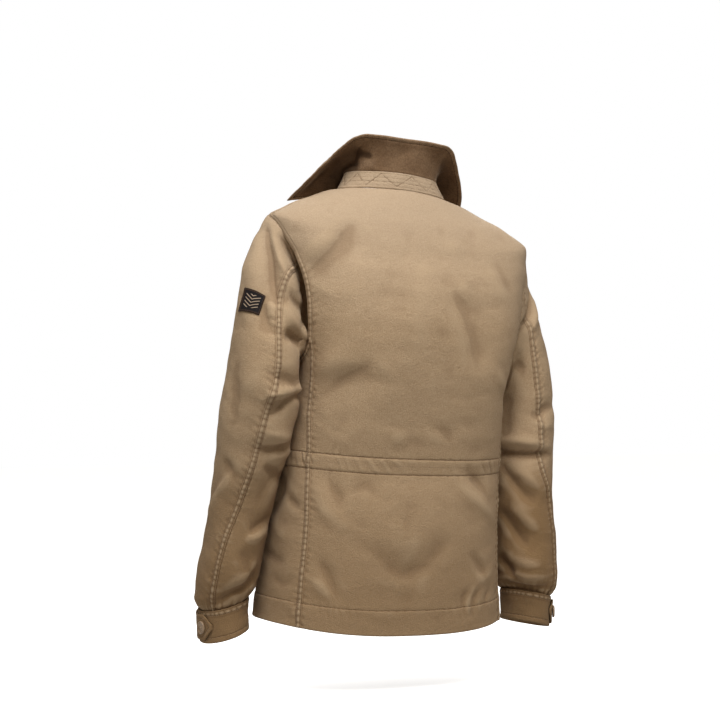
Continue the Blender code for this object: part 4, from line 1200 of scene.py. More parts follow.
def cuff_edge(distance, run):
    """A cuff edge: two rows of stitches with beads between them."""
    return felled(distance, run, rise=0.3, beads=0.4, puckers=0.2)


# Painted shade over the whole of each cuff and its tab.
CUFF_PAINTED_SHADE = 0.75
CUFFS, TABS = {}, {}
for side in SIDE:
    angles = np.linspace(0, 360, grid_lines(150) + 1)[:-1]
    down = graded(CUFF_DEPTH, 1.6 * FINE, 1.1 * FINE, [0, CUFF_DEPTH], 9, 14)[:, None]
    points = cuff_point(side, angles, down)
    cuff = Panel("cuff_" + side, points, points.mean(axis=1)[:, None], wrap=True)
    ring = np.linspace(0, 360, 400)
    cuff.seam(cuff_point(side, ring, 0.0), cuff_edge, reach=30.0)
    cuff.seam(cuff_point(side, ring, CUFF_DEPTH), edge_stitched, reach=24.0, row=CUFF_IN)
    cuff.push += rumple(points, 8, (18, 40), 0.35) - 0.8 * bump(down, 20.0, 5.0) * (
        0.5 + 0.5 * np.sin(np.radians(angles * 3 + 40)))
    under_tab = ease(angles, TAB_START % 360 - 12, TAB_START % 360)
    under_tab = np.maximum(under_tab, 1 - ease(angles, tab_tip(side), tab_tip(side) + 8))
    cuff.push *= 1 - 0.8 * under_tab * ease(down, 2, 6) * (1 - ease(down, 39, 44))
    # painted shade on the cuff
    cuff.unfaded += CUFF_PAINTED_SHADE
    make(cuff, CUFF_WALL)
    CUFFS[side] = cuff

    tip = tab_tip(side)
    point_angle = math.degrees(TAB_POINT / CUFF_RADIUS)
    square_end = tip - point_angle
    length = math.radians(tip - TAB_START) * CUFF_RADIUS
    runs = TAB_START + graded(length, 2.0 * FINE, 0.9 * FINE, [0, length], 5, 16) / length * (
        tip - TAB_START)
    share = np.linspace(-1, 1, grid_lines(26))[:, None]
    pointed = 0.14 + 0.86 * (tip - runs) / point_angle
    narrow = np.where(runs <= square_end, 1.0, np.minimum(pointed, 1.0))
    down = TAB_MARGIN + TAB_DEPTH / 2 + share * narrow * TAB_DEPTH / 2
    points = cuff_point(side, runs + 0 * down, down, TAB_OUT)
    middle = cuff_point(side, np.arange(0, 360, 10.0), 20).mean(axis=0)
    tab = Panel("cuff_tab_" + side, points, middle)
    outline = np.concatenate([points[0, :-1], points[:, -1], points[-1, ::-1][1:]])
    tab.seam(outline, edge_stitched, reach=16.0, row=TAB_IN, roll=0.25, puckers=0.1)
    tab.push += 0.25 + np.abs(rumple(points, 9, (18, 40), 0.3))
    # painted shade on the tab
    tab.unfaded += CUFF_PAINTED_SHADE
    make(tab, STRAP_WALL)
    TABS[side] = tab

# %% [markdown]
# ## The collar
#
# A canvas stand rises from the neck edge and leans in. The brushed leaf goes up from its top and
# rolls outwards to the free edge. A line of zigzag stitches between plain rows stiffens the stand.

# %% The collar


def stand_base(turn):
    point = body(90 - turn, NECK)
    point[..., 2] += STAND_LIFT
    return point


def neck_middle():
    return np.array([read(RING, "sway", NECK), read(RING, "lean", NECK)])


def stand_top(turn):
    base = stand_base(turn)
    inward = unit(neck_middle() - base[..., :2])
    base[..., :2] += inward * read(STAND_ROW, "lean_in", np.abs(turn))[..., None]
    base[..., 2] += STAND_HEIGHT
    return base


def stand(turn, share):
    base, top = stand_base(turn), stand_top(turn)
    return base + np.asarray(share)[..., None] * (top - base)


def leaf(turn, share):
    """From the top of the stand, share 0, up and over to the free edge, share 1."""
    turn, share = np.broadcast_arrays(np.asarray(turn, float), np.asarray(share, float))
    root, size = stand_top(turn), np.abs(turn)
    lean_in = read(STAND_ROW, "lean_in", size)
    rolls_out, rolls_up = read(LEAF_ROW, "control_out", size), read(LEAF_ROW, "control_up", size)
    bend = lean_in / np.hypot(lean_in, STAND_HEIGHT) + rolls_out / np.hypot(rolls_out, rolls_up)
    steep = np.clip((size - 60.0) / 60.0, 0, 1)
    root[..., 2] += SEAM_GAP + bend * COLLAR_WALL / 2 + 0.35 + 1.1 * steep
    middle = neck_middle()
    out = unit(root[..., :2] - middle)
    control = root.copy()
    control[..., :2] += out * rolls_out[..., None]
    control[..., 2] += rolls_up
    across = np.sign(turn) * read(LEAF_ROW, "edge_across", size)
    tip = np.stack([
        across + middle[0], read(LEAF_ROW, "edge_along", size),
        read(LEAF_ROW, "edge_up", size) + read(RING, "roll", NECK) * across,
    ], axis=-1)
    share = share[..., None]
    return root * (1 - share) ** 2 + control * 2 * share * (1 - share) + tip * share**2


def stand_rows(distance, run, faint=0.0):
    return -0.25 * bump(distance, 0, 0.8), {"row": distance + faint}


def leaf_edge(distance, run):
    """The leaf's free edge: a rolled rim, then a row of stitches."""
    wave = ripple(drift(run), 10.5)
    push = 0.7 * bump(distance, 1.4, 2.2) - 0.75 * bump(distance, LEAF_IN, 1.0)
    push += 0.3 * bump(distance, 8.5, 3.0) + 0.18 * wave * bump(distance, 4.0, 4.0)
    return push, {"row": distance - LEAF_IN}


def all_turns(count):
    """So many turns from one end of the collar to the other."""
    return np.linspace(-LEAF_ROW["turn"][-1], LEAF_ROW["turn"][-1], count)


turns = all_turns(grid_lines(190))
shares = np.linspace(0, 1, grid_lines(22))[:, None]
points = stand(turns + 0 * shares, shares + 0 * turns)
collar_stand = Panel("collar_stand", points, np.array([*neck_middle(), 12.0]))
STAND_LINES = [stand(all_turns(500), np.full(500, share)) for share in (0.13, 0.38, 0.63, 0.88)]
ZIG_TURN, ZIG_DEPTH = 17.0, 0.75
zig = all_turns(900)
zigzag = 0.13 + ZIG_DEPTH * np.abs(np.mod((zig + 8) / ZIG_TURN, 2) - 1)
STAND_ZIGZAG = stand(zig, zigzag)
for line in STAND_LINES:
    collar_stand.seam(line, stand_rows, reach=5.0, faint=0.5)
collar_stand.seam(STAND_ZIGZAG, stand_rows, reach=5.0)
collar_stand.push += rumple(collar_stand.base, 11, (14, 34), 0.22)
make(collar_stand, COLLAR_WALL)

turns = all_turns(grid_lines(270))
length = arc(leaf(70.0, np.linspace(0, 1, 200)))[-1]
shares = graded(length, 2.2 * FINE, 1.0 * FINE, [length], 8, 16)[:, None] / length
points = leaf(turns, shares)
collar_leaf = Panel("collar_leaf", points, np.array([*neck_middle(), 40.0]))
collar_leaf.stretch(("bottom",), 0.7)
outline = np.concatenate([points[:-1, 0], points[-1], points[::-1, -1][1:]])
collar_leaf.seam(outline, leaf_edge, reach=20.0)
collar_leaf.push += rumple(points, 12, (22, 60), 0.6)
collar_leaf.fold(LEAF_FOLDS, leaf)
collar_leaf.push *= ease(shares, 0, 0.10)
# Painted shade where the collar leaf bends outwards, fading towards its free edge.
bend = ease(np.abs(turns), 55, 66) * (1 - 0.5 * ease(np.abs(turns), 100, 135))
collar_leaf.unfaded += bend * (1 - 0.85 * ease(shares, 0.40, 0.92))
make(collar_leaf, COLLAR_WALL)

# %% [markdown]
# ## The sleeve patch
#
# The patch is sewn to the upper sleeve, so it is laid on the same surface and pushed by the same
# folds, and it can never float off or sink in.

# %% The patch
PATCH_WIDTH, PATCH_HEIGHT = 34.0, 31.0
PATCH_ROW, PATCH_STEP, PATCH_TURN = 3.1, 1.75, -14.0
PATCH_OUT = (CLOTH_WALL + PATCH_WALL) / 2 + SEAM_GAP + 0.5


def patch_surface(row, step):
    return sleeve("left", PATCH_STEP + step, PATCH_ROW + row)


column = unit(patch_surface(0, 0.5) - patch_surface(0, -0.5))
steps = np.stack([
    patch_surface(0.5, 0) - patch_surface(-0.5, 0), patch_surface(0, 0.5) - patch_surface(0, -0.5),
], axis=1)
facing = unit(np.cross(steps[:, 0], steps[:, 1]))
turn = math.radians(PATCH_TURN)
across = math.cos(turn) * column - math.sin(turn) * np.cross(facing, column)
down = np.cross(across, facing)
x = np.linspace(-0.5, 0.5, grid_lines(34)) * PATCH_WIDTH
y = np.linspace(-0.5, 0.5, grid_lines(31))[:, None] * PATCH_HEIGHT
moves = (x[None, :, None] * across + y[..., None] * down) @ np.linalg.pinv(steps).T
points = patch_surface(moves[..., 0], moves[..., 1])
patch = Panel("sleeve_patch", points, sleeve_middle("left", np.array([[PATCH_ROW]]))[0, 0])
patch.push += PATCH_OUT + rumple(points, *SOFT_DENTS, SLEEVE_DENTS[0])
patch.fold(SLEEVE_FOLDS["left"], lambda step, row: sleeve("left", step, row))
make(patch, PATCH_WALL)

# %% [markdown]
# ## The buttons
#
# A button is a turned disc with a rounded rim, a hollow face and four holes. Thread crosses the
# holes. One profile, spun round, makes every button, and the holes are cut with a boolean.

# %% The buttons
BUTTON_PROFILE = (
    (0.0, 0.0), (8.3, 0.0), (9.2, 0.5), (9.5, 1.4), (9.3, 2.4), (8.6, 3.1), (7.8, 3.2), (7.0, 2.9),
    (6.2, 2.3), (4.0, 2.1), (0.0, 2.1),
)
HOLE_FROM_MIDDLE, HOLE_WIDTH = 1.75, 1.5
FROM_TIP, TAB_BUTTON_LIFT = 26.0, 0.35


def evaluated(thing):
    """The mesh that an object's modifiers make. The object itself is used up."""
    view = bpy.context.evaluated_depsgraph_get()
    done = bpy.data.meshes.new_from_object(thing.evaluated_get(view))
    bpy.data.objects.remove(thing, do_unlink=True)
    return done


def button_mesh():
    """A button on the plane z = 0, its face up."""
    mesh = bmesh.new()
    profile = [mesh.verts.new((x * MM, 0, z * MM)) for x, z in BUTTON_PROFILE]
    lines = [mesh.edges.new(pair) for pair in zip(profile, profile[1:])]
    bmesh.ops.spin(
        mesh, geom=profile + lines, axis=(0, 0, 1), cent=(0, 0, 0), angle=2 * math.pi, steps=48,
        use_merge=True, use_duplicate=False,
    )
    bmesh.ops.remove_doubles(mesh, verts=mesh.verts, dist=1e-6)
    bmesh.ops.recalc_face_normals(mesh, faces=mesh.faces)
    disc = bpy.data.meshes.new("button")
    mesh.to_mesh(disc)
    mesh.clear()
    for x, y in ((1, 1), (1, -1), (-1, 1), (-1, -1)):
        place = Vector((x * HOLE_FROM_MIDDLE, y * HOLE_FROM_MIDDLE, 1.6)) * MM
        bmesh.ops.create_cone(
            mesh, cap_ends=True, segments=16, radius1=HOLE_WIDTH / 2 * MM,
            radius2=HOLE_WIDTH / 2 * MM, depth=6 * MM, matrix=Matrix.Translation(place),
        )
    drill = bpy.data.meshes.new("drill")
    mesh.to_mesh(drill)
    mesh.free()
    blank, bit = (in_scene(data.name, data) for data in (disc, drill))
    cut = blank.modifiers.new("holes", "BOOLEAN")
    cut.object, cut.operation, cut.solver = bit, "DIFFERENCE", "EXACT"
    done = evaluated(blank)
    bpy.data.objects.remove(bit, do_unlink=True)
    return done


def place_button(name, seat, facing, turn):
    """Puts a button with its back on the seat and writes the place into its mesh."""
    stand_up = Vector(facing).to_track_quat("Z", "Y").to_matrix().to_4x4()
    place = Matrix.Translation(Vector(seat) * MM) @ stand_up @ Matrix.Rotation(turn, 4, "Z")
    data = BUTTON.copy()
    data.transform(place)
    stands_for(name, "_turned", data)
    data.set_sharp_from_angle(angle=math.radians(40))
    BUTTON_PLACES.append(place)


BUTTON_PLACES = []
BUTTON = button_mesh()
for side in SIDE:
    angle, down = tab_tip(side) - FROM_TIP, TAB_MARGIN + TAB_DEPTH / 2
    low = cuff_point(side, angle, down, TAB_OUT)
    facing = unit(cuff_point(side, angle, down, TAB_OUT + 1) - low)
    seat = low + (BUTTON_SEAT + TAB_BUTTON_LIFT) * facing
    place_button("cuff_button_" + side, seat, facing, 0.5)
for number, height in enumerate(FRONT_BUTTONS, start=1):
    above, low, below = (body(-90.0, height + step, PLACKET_OUT) for step in (10, 0, -10))
    facing = unit(np.cross(above - below, [-1.0, 0.0, 0.0]))
    place_button(f"front_button_{number}", low + BUTTON_SEAT * facing, facing, 0.3 * number)
print("buttons:", len(BUTTON_PLACES), "with", len(BUTTON.polygons), "faces each")

# %% [markdown]
# ## Stitches
#
# A row of stitches is a line on the outer skin. Geometry Nodes turns it into a curve, sets points
# at one stitch length and puts a short rounded thread at each, turned along the line. Drawing them
# in the texture would be cheaper, but real threads catch the light and lie in their groove.

# %% Lines for the stitches
THREADS = {}
STITCH_SINK = 0.12
LEVELS = (HEM_STITCH, CASING_LOW, CASING_TOP)


def add_row(name, places, normals):
    """Keeps a line of stitches, sunk a little into the cloth."""
    THREADS.setdefault(name, []).append((places - STITCH_SINK * normals, normals))


def panel_edges(panel, edges, distances, rows=slice(None), columns=slice(None)):
    for edge in edges:
        for distance in distances:
            add_row(panel.name, *panel.lines(edge, distance, rows, columns))


def nearest_row(level):
    return int(np.argmin(np.abs(HEIGHTS - level)))


armhole_rows = slice(len(LOW_HEIGHTS) - 1, nearest_row(SHOULDER_POINT))
panel_edges(back, ("left", "right"), SEAM_ROWS)
for level in LEVELS:
    k = nearest_row(level)
    add_row("back", back.outer[k], back.normals[k])
for side, front in fronts.items():
    for level in LEVELS:
        k = nearest_row(level)
        places, normals = front.outer[k], front.normals[k]
        keep = np.abs(places[:, 0] - read(RING, "sway", level)) > PLACKET_WIDTH / 2 + 2
        add_row(front.name, places[keep], normals[keep])
    first = front_columns[side]
    panel_edges(front, ("left",), SEAM_ROWS, armhole_rows, slice(first, None))
    panel_edges(front, ("top",), SEAM_ROWS, slice(0, len(LOW_HEIGHTS)), slice(0, first + 1))
    panel_edges(front, ("right",), (OPENING_IN,), slice(int(np.argmax(OPEN_ROWS)), None))
panel_edges(placket, ("left", "right", "top"), (EDGE_IN,))

for side in SIDE:
    panel_edges(SLEEVES[side, "upper"], ("left", "right"), SEAM_ROWS, slice(2, None))
for cuff in CUFFS.values():
    for edge, distances in (("bottom", SEAM_ROWS), ("top", (CUFF_IN,))):
        for distance in distances:
            places, normals = cuff.lines(edge, distance)
            places, normals = (np.concatenate([part, part[:1]]) for part in (places, normals))
            add_row(cuff.name, places, normals)
for tab in TABS.values():
    panel_edges(tab, ("bottom", "top"), (TAB_SIDE_IN,), columns=slice(0, -4))
    panel_edges(tab, ("right",), (TAB_IN,), rows=slice(4, -4))
panel_edges(collar_leaf, ("top",), (LEAF_IN,), columns=slice(4, -4))
panel_edges(collar_leaf, ("left", "right"), (LEAF_IN,), rows=slice(3, -4))


def on_skin(panel, line):
    """A line in space, brought onto a panel's outer skin."""
    skin, normals = panel.outer.reshape(-1, 3), panel.normals.reshape(-1, 3)
    flat = panel.base.reshape(-1, 3)
    best = np.array([((flat - point)**2).sum(axis=1).argmin() for point in line])
    offset = ((line - flat[best]) * normals[best]).sum(axis=-1, keepdims=True)
    places = line - offset * normals[best] + (skin[best] - flat[best])
    return places, normals[best]


for line in STAND_LINES + [STAND_ZIGZAG]:
    add_row("collar_stand", *on_skin(collar_stand, line[::3]))
panel_edges(patch, ("left", "right", "bottom", "top"), (PATCH_IN,))
print("rows of stitches:", sum(len(rows) for rows in THREADS.values()))

# %% A stitch, and the node tree that repeats it
STITCH_LENGTH, STITCH_UNEVEN = 3.3, 0.22
STITCH_SIZE = (1.32, 0.30, 0.26)


def stitch_mesh():
    """One stitch: a short thread with tapered ends, along X."""
    mesh = bmesh.new()
    bmesh.ops.create_uvsphere(mesh, u_segments=5, v_segments=4, radius=1.0)
    turn = Matrix.Rotation(math.pi / 2, 4, "Y")
    size = Matrix.Diagonal((*(part * MM for part in STITCH_SIZE), 1.0))
    bmesh.ops.transform(mesh, matrix=size @ turn, verts=mesh.verts)
    data = bpy.data.meshes.new("stitch")
    mesh.to_mesh(data)
    mesh.free()
    data.shade_smooth()
    return data


def fill(tree, node, inputs):
    """Links each of a node's inputs to a socket, or sets it to a value."""
    for name, value in dict(inputs).items():
        if isinstance(value, bpy.types.NodeSocket):
            tree.links.new(value, node.inputs[name])
        elif value is not None:
            node.inputs[name].default_value = value
    return node


def add_node(tree, kind, inputs=(), **settings):
    node = tree.nodes.new(kind)
    for name, value in settings.items():
        setattr(node, name, value)
    return fill(tree, node, inputs)


def sockets(tree, way, labels, vectors=()):
    """Gives a group named float sockets, or vector ones where `vectors` names them."""
    for label in labels:
        kind = "Vector" if label in vectors else "Float"
        tree.interface.new_socket(label, in_out=way, socket_type="NodeSocket" + kind)


def stitch_tree(stitch, thread):
    """A tree that puts stitches along every line of a mesh, at a pitch it is given."""
    tree = bpy.data.node_groups.new("stitches", "GeometryNodeTree")
    for way in ("INPUT", "OUTPUT"):
        tree.interface.new_socket("Geometry", in_out=way, socket_type="NodeSocketGeometry")
    sockets(tree, "INPUT", ("Pitch", "Uneven"))
    given = add_node(tree, "NodeGroupInput").outputs
    curve = add_node(tree, "GeometryNodeMeshToCurve", {"Mesh": given["Geometry"]})
    even = add_node(tree, "GeometryNodeResampleCurve", {
        "Curve": curve.outputs["Curve"], "Length": given["Pitch"]}, mode="LENGTH")
    tangent = add_node(tree, "GeometryNodeInputTangent")
    up = add_node(tree, "GeometryNodeInputNamedAttribute", {"Name": "up"}, data_type="FLOAT_VECTOR")
    lie = add_node(tree, "FunctionNodeAlignEulerToVector", {
        "Vector": tangent.outputs["Tangent"]}, axis="X")
    face_out = add_node(tree, "FunctionNodeAlignEulerToVector", {
        "Rotation": lie.outputs["Rotation"], "Vector": up.outputs["Attribute"],
    }, axis="Z", pivot_axis="X")
    shape = add_node(tree, "GeometryNodeObjectInfo", {"Object": stitch})
    least = add_node(tree, "ShaderNodeMath", {0: 1.0, 1: given["Uneven"]}, operation="SUBTRACT")
    size = add_node(tree, "FunctionNodeRandomValue", {
        "Seed": 4, 2: least.outputs["Value"], 3: 1.0}, data_type="FLOAT")
    put = add_node(tree, "GeometryNodeInstanceOnPoints", {
        "Points": even.outputs["Curve"], "Instance": shape.outputs["Geometry"],
        "Rotation": face_out.outputs["Rotation"], "Scale": size.outputs[1],
    })
    real = add_node(tree, "GeometryNodeRealizeInstances", {"Geometry": put.outputs["Instances"]})
    paint = add_node(tree, "GeometryNodeSetMaterial", {
        "Geometry": real.outputs["Geometry"], "Material": thread})
    add_node(tree, "NodeGroupOutput", {"Geometry": paint.outputs["Geometry"]})
    return tree


def stitch_piece(name, rows, tree):
    """Turns a piece's rows of stitches into one mesh."""
    places, ups, edges = [], [], []
    for line, normals in rows:
        start = len(places)
        places += (line * MM).tolist()
        ups += normals.tolist()
        edges += [(k, k + 1) for k in range(start, len(places) - 1)]
    mesh = bpy.data.meshes.new(name)
    mesh.from_pydata(places, edges, [])
    mesh.attributes.new("up", "FLOAT_VECTOR", "POINT").data.foreach_set(
        "vector", np.array(ups, np.float32).ravel())
    guide = in_scene(name, mesh)
    nodes = guide.modifiers.new("stitches", "NODES")
    nodes.node_group = tree
    for label, value in (("Pitch", STITCH_LENGTH * MM), ("Uneven", STITCH_UNEVEN)):
        nodes[tree.interface.items_tree[label].identifier] = value
    piece = in_scene(name + "_stitches", evaluated(guide))
    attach(piece, "root")
    return piece


thread_material = bpy.data.materials.new("sewing_thread")
patch_thread = bpy.data.materials.new("patch_thread")
stitch = in_scene("stitch", stitch_mesh())
STITCHES = {}
for name, rows in THREADS.items():
    thread = patch_thread if name == "sleeve_patch" else thread_material
    STITCHES[name] = stitch_piece(name, rows, stitch_tree(stitch, thread))
    print(STITCHES[name].name, len(STITCHES[name].data.polygons), "faces")
bpy.data.objects.remove(stitch, do_unlink=True)

# %% Thread through the buttons
CROSS_HEIGHT, CROSS_SIZE = 2.25, (0.55, 0.7, 2.9)
lift = Matrix.Translation((0, 0, CROSS_HEIGHT * MM)) @ Matrix.Rotation(math.pi / 2, 4, "Y")
size = Matrix.Diagonal((*(part * MM for part in CROSS_SIZE), 1.0))
mesh = bmesh.new()
for place in BUTTON_PLACES:
    for angle in (45, 135):
        turned = Matrix.Rotation(math.radians(angle), 4, "Z")
        bmesh.ops.create_uvsphere(
            mesh, u_segments=8, v_segments=8, radius=1.0, matrix=place @ turned @ lift @ size)
data = bpy.data.meshes.new("button_thread")
mesh.to_mesh(data)
mesh.free()
data.shade_smooth()
data.materials.append(thread_material)
button_thread = in_scene("button_thread", data)
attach(button_thread, "root")
print("button thread:", len(data.polygons), "faces in", 2 * len(BUTTON_PLACES), "strands")

# %% [markdown]
# ## Materials
#
# The weave is a repeat of crossing threads, drawn from the UV map in metres. A node group works it
# out once and gives only values, and each material keeps its own Principled shader. The canvas is
# stained and speckled and paler on worn ridges and beads, with a painted highlight on the shoulders
# and on the bead crests. Painted shade darkens it low down, in hollows, between the beads and along
# the seam bands, and its stitch grooves are dark with needle holes. Bump does what is too fine for
# the mesh.

# %% Node helpers
def group(name, inputs, outputs):
    """A new shader group with its sockets: the tree and what comes in."""
    tree = bpy.data.node_groups.new(name, "ShaderNodeTree")
    sockets(tree, "INPUT", inputs, vectors=("Vector",))
    sockets(tree, "OUTPUT", outputs)
    return tree, add_node(tree, "NodeGroupInput").outputs


def math_node(tree, operation, a, b=None, clamp=False):
    return add_node(
        tree, "ShaderNodeMath", {0: a, 1: b}, operation=operation, use_clamp=clamp).outputs[0]


def times(tree, a, b):
    return math_node(tree, "MULTIPLY", a, b)


def noise(tree, vector, scale, detail=3.0, rough=0.55):
    return add_node(tree, "ShaderNodeTexNoise", {
        "Vector": vector, "Scale": scale, "Detail": detail, "Roughness": rough}).outputs["Fac"]


def remap(tree, value, low, high, to_low=0.0, to_high=1.0):
    return add_node(tree, "ShaderNodeMapRange", {
        "Value": value, "From Min": low, "From Max": high, "To Min": to_low, "To Max": to_high,
    }).outputs["Result"]


def mix(tree, share, a, b):
    a, b = ((*colour, 1.0) if isinstance(colour, tuple) else colour for colour in (a, b))
    return add_node(tree, "ShaderNodeMix", {0: share, 6: a, 7: b}, data_type="RGBA").outputs[2]


def tinted(tree, colour, tints):
    """Lays tints over a colour. A tint has a mask, a strength and its own colour."""
    for mask, strength, tint in tints:
        colour = mix(tree, times(tree, mask, strength), colour, tint)
    return colour


def bumped(tree, bumps):
    """Bumps on top of each other. A bump has a height, a strength and a depth in metres."""
    normal = None
    for height, strength, depth in bumps:
        normal = add_node(tree, "ShaderNodeBump", {
            "Height": height, "Strength": strength, "Distance": depth, "Normal": normal,
        }).outputs["Normal"]
    return normal


def attribute(tree, name):
    return add_node(tree, "ShaderNodeAttribute", attribute_name=name).outputs["Fac"]


def on_object(tree):
    return add_node(tree, "ShaderNodeTexCoord").outputs["Object"]


def split(tree, vector):
    return add_node(tree, "ShaderNodeSeparateXYZ", {"Vector": vector}).outputs


def shader_of(material):
    material.use_nodes = True
    return material.node_tree, material.node_tree.nodes["Principled BSDF"]


def new_look(name):
    """A new material with its tree and its shader."""
    material = bpy.data.materials.new(name)
    return material, *shader_of(material)


# %% The weave
CANVAS_THREADS, PATCH_THREADS = 640.0, 1100.0
YARN_STRETCHES = ((1500.0, 70.0, 1.0), (70.0, 1500.0, 1.0))
WAVER = 0.0016


def weave_group():
    """Height and tint of a plain weave, from the UV map in metres."""
    tree, given = group("weave", ("Vector", "Threads"), ("Height", "Tint"))
    waver = times(tree, noise(tree, given["Vector"], 90.0, 2.0), WAVER)
    waves, yarns = [], []
    for axis in "XY":
        place = math_node(tree, "ADD", split(tree, given["Vector"])[axis], waver)
        place = times(tree, place, given["Threads"])
        waves.append(math_node(tree, "SINE", times(tree, place, 2 * math.pi)))
    for stretch in YARN_STRETCHES:
        slub = add_node(tree, "ShaderNodeMapping", {"Vector": given["Vector"], "Scale": stretch})
        yarns.append(noise(tree, slub.outputs["Vector"], 1.0, 2.0))
    yarn = math_node(tree, "ADD", *yarns)
    height = math_node(tree, "ADD", times(tree, times(tree, *waves), 0.5), yarn)
    add_node(tree, "NodeGroupOutput", {"Height": height, "Tint": yarn})
    return tree


WEAVE = weave_group()


def woven(tree, threads):
    """A material's UV map, and the weave on it with so many threads to a metre."""
    uv = add_node(tree, "ShaderNodeUVMap", uv_map="cloth").outputs["UV"]
    given = {"Vector": uv, "Threads": threads}
    return uv, add_node(tree, "ShaderNodeGroup", given, node_tree=WEAVE).outputs


print("threads to a centimetre of canvas:", CANVAS_THREADS / 100)


# %% The sewing
BEAD_WIDTH, ROW_WIDTH, RAGGED = 1.55, 0.75, 0.45


def bell(tree, value, centre, width):
    away = times(tree, math_node(tree, "SUBTRACT", value, centre), 1 / width)
    return math_node(tree, "EXPONENT", times(tree, times(tree, away, away), -1.0))


def sewing_group():
    """Beads, grooves and needle holes from the distances on the cloth, in millimetres."""
    tree, given = group("sewing", ("Seam", "Bead", "Row", "Run"), ("Height", "Dark", "Light"))
    seam, bead = given["Seam"], given["Bead"]
    wave = math_node(tree, "SINE", times(tree, given["Run"], math.pi / BEAD))
    lump = math_node(tree, "POWER", math_node(tree, "ABSOLUTE", wave), 0.8)
    band = times(tree, bell(tree, seam, BEAD_LINE, BEAD_WIDTH), bead)
    # the chain of bead crests: worn, and lightened further as a painted highlight
    chain = times(tree, band, lump)
    gaps = math_node(tree, "SUBTRACT", band, chain)
    rows = bell(tree, given["Row"], 0.0, ROW_WIDTH)
    for row in SEAM_ROWS:
        rows = math_node(tree, "ADD", rows, bell(tree, seam, row, ROW_WIDTH))
    holes = times(tree, math_node(tree, "ADD", times(tree, lump, -0.6), 1.0), rows)
    share = math_node(tree, "MAXIMUM", bead, remap(tree, seam, 12.0, 20.0))
    dotted = times(tree, holes, remap(tree, share, 0.0, 1.0, 0.3, 1.0))
    # a painted shadow along the outer edge of the seam band
    edge = times(tree, times(tree, bell(tree, seam, SEAM_BAND + 0.7, 0.9), 0.4), bead)
    # the dark output adds painted shade in the gaps between beads to the needle holes
    dark = math_node(tree, "ADD", dotted, times(tree, gaps, 0.75))
    dark = math_node(tree, "ADD", dark, edge, clamp=True)
    height = math_node(tree, "SUBTRACT", times(tree, chain, 0.7), rows)
    add_node(tree, "NodeGroupOutput", {"Height": height, "Dark": dark, "Light": chain})
    return tree


SEWING = sewing_group()


def sewing(tree):
    """The sewing on a material's attributes, with each row of holes a little ragged."""
    ragged = remap(tree, noise(tree, on_object(tree), 130.0, 2.0), 0.3, 0.7, -RAGGED, RAGGED)
    marks = {name.capitalize(): attribute(tree, name) for name in MARKS}
    marks["Row"] = math_node(tree, "ADD", marks["Row"], ragged)
    return add_node(tree, "ShaderNodeGroup", marks, node_tree=SEWING).outputs


print("one bead and one needle hole every", BEAD, "mm")


# %% Canvas
CANVAS = (0.405, 0.272, 0.152)


def canvas_material():
    material, tree, shader = new_look("canvas")
    weave = woven(tree, CANVAS_THREADS)[1]
    place, sewn, relief = on_object(tree), sewing(tree), attribute(tree, "relief")
    height = split(tree, place)["Z"]
    # painted shade that grows towards the bottom of the jacket
    unfaded = remap(tree, height, -0.34, -0.58)
    colour = tinted(tree, CANVAS, (
        # clouds, mottling, speckles and yarn
        (remap(tree, noise(tree, place, 9.0, 4.0), 0.3, 0.7), 0.50, (0.44, 0.305, 0.182)),
        (remap(tree, noise(tree, place, 70.0, 5.0, 0.65), 0.3, 0.7), 0.30, (0.325, 0.208, 0.112)),
        (remap(tree, noise(tree, place, 520.0, 3.0, 0.75), 0.38, 0.66), 0.62, (0.55, 0.41, 0.27)),
        (remap(tree, weave["Tint"], 0.75, 1.25), 0.25, (0.50, 0.36, 0.225)),
        # a painted highlight on the shoulders, and painted shade low down, on forearms and cuffs
        (remap(tree, height, -0.20, -0.03), 0.35, (0.45, 0.362, 0.278)),
        (math_node(tree, "ADD", unfaded, attribute(tree, "unfaded")), 0.55, (0.27, 0.165, 0.078)),
        # worn ridges, painted shade in hollows, painted highlight on worn beads, grooves
        (remap(tree, relief, 0.60, 0.98), 0.42, (0.52, 0.38, 0.24)),
        (remap(tree, relief, 0.44, 0.12), 0.38, (0.225, 0.135, 0.070)),
        (sewn["Light"], 0.42, (0.62, 0.47, 0.31)),
        # needle holes, with painted shade between the beads and a painted shadow at the seam band's
        # edge
        (sewn["Dark"], 0.82, (0.150, 0.082, 0.038)),
    ))
    crease = math_node(tree, "SUBTRACT", noise(tree, place, 48.0, 4.0, 0.6), 0.5)
    crease = remap(tree, math_node(tree, "ABSOLUTE", crease), 0.0, 0.10)
    patches = remap(tree, noise(tree, place, 14.0, 2.0), 0.46, 0.62)
    normal = bumped(tree, (
        (noise(tree, place, 75.0, 5.0, 0.58), 0.38, 0.0030),
        (times(tree, crease, patches), 0.22, 0.0012),
        (sewn["Height"], 0.8, 0.0007),
        (noise(tree, place, 620.0, 3.0, 0.75), 0.9, 0.0014),
        (weave["Height"], 0.35, 0.00022),
    ))
    fill(tree, shader, {
        "Base Color": colour, "Normal": normal, "Roughness": 0.92, "Specular IOR Level": 0.18,
        "Sheen Weight": 0.06, "Sheen Roughness": 0.5,
    })
    return material


canvas = canvas_material()
print("nodes in the canvas:", len(canvas.node_tree.nodes))


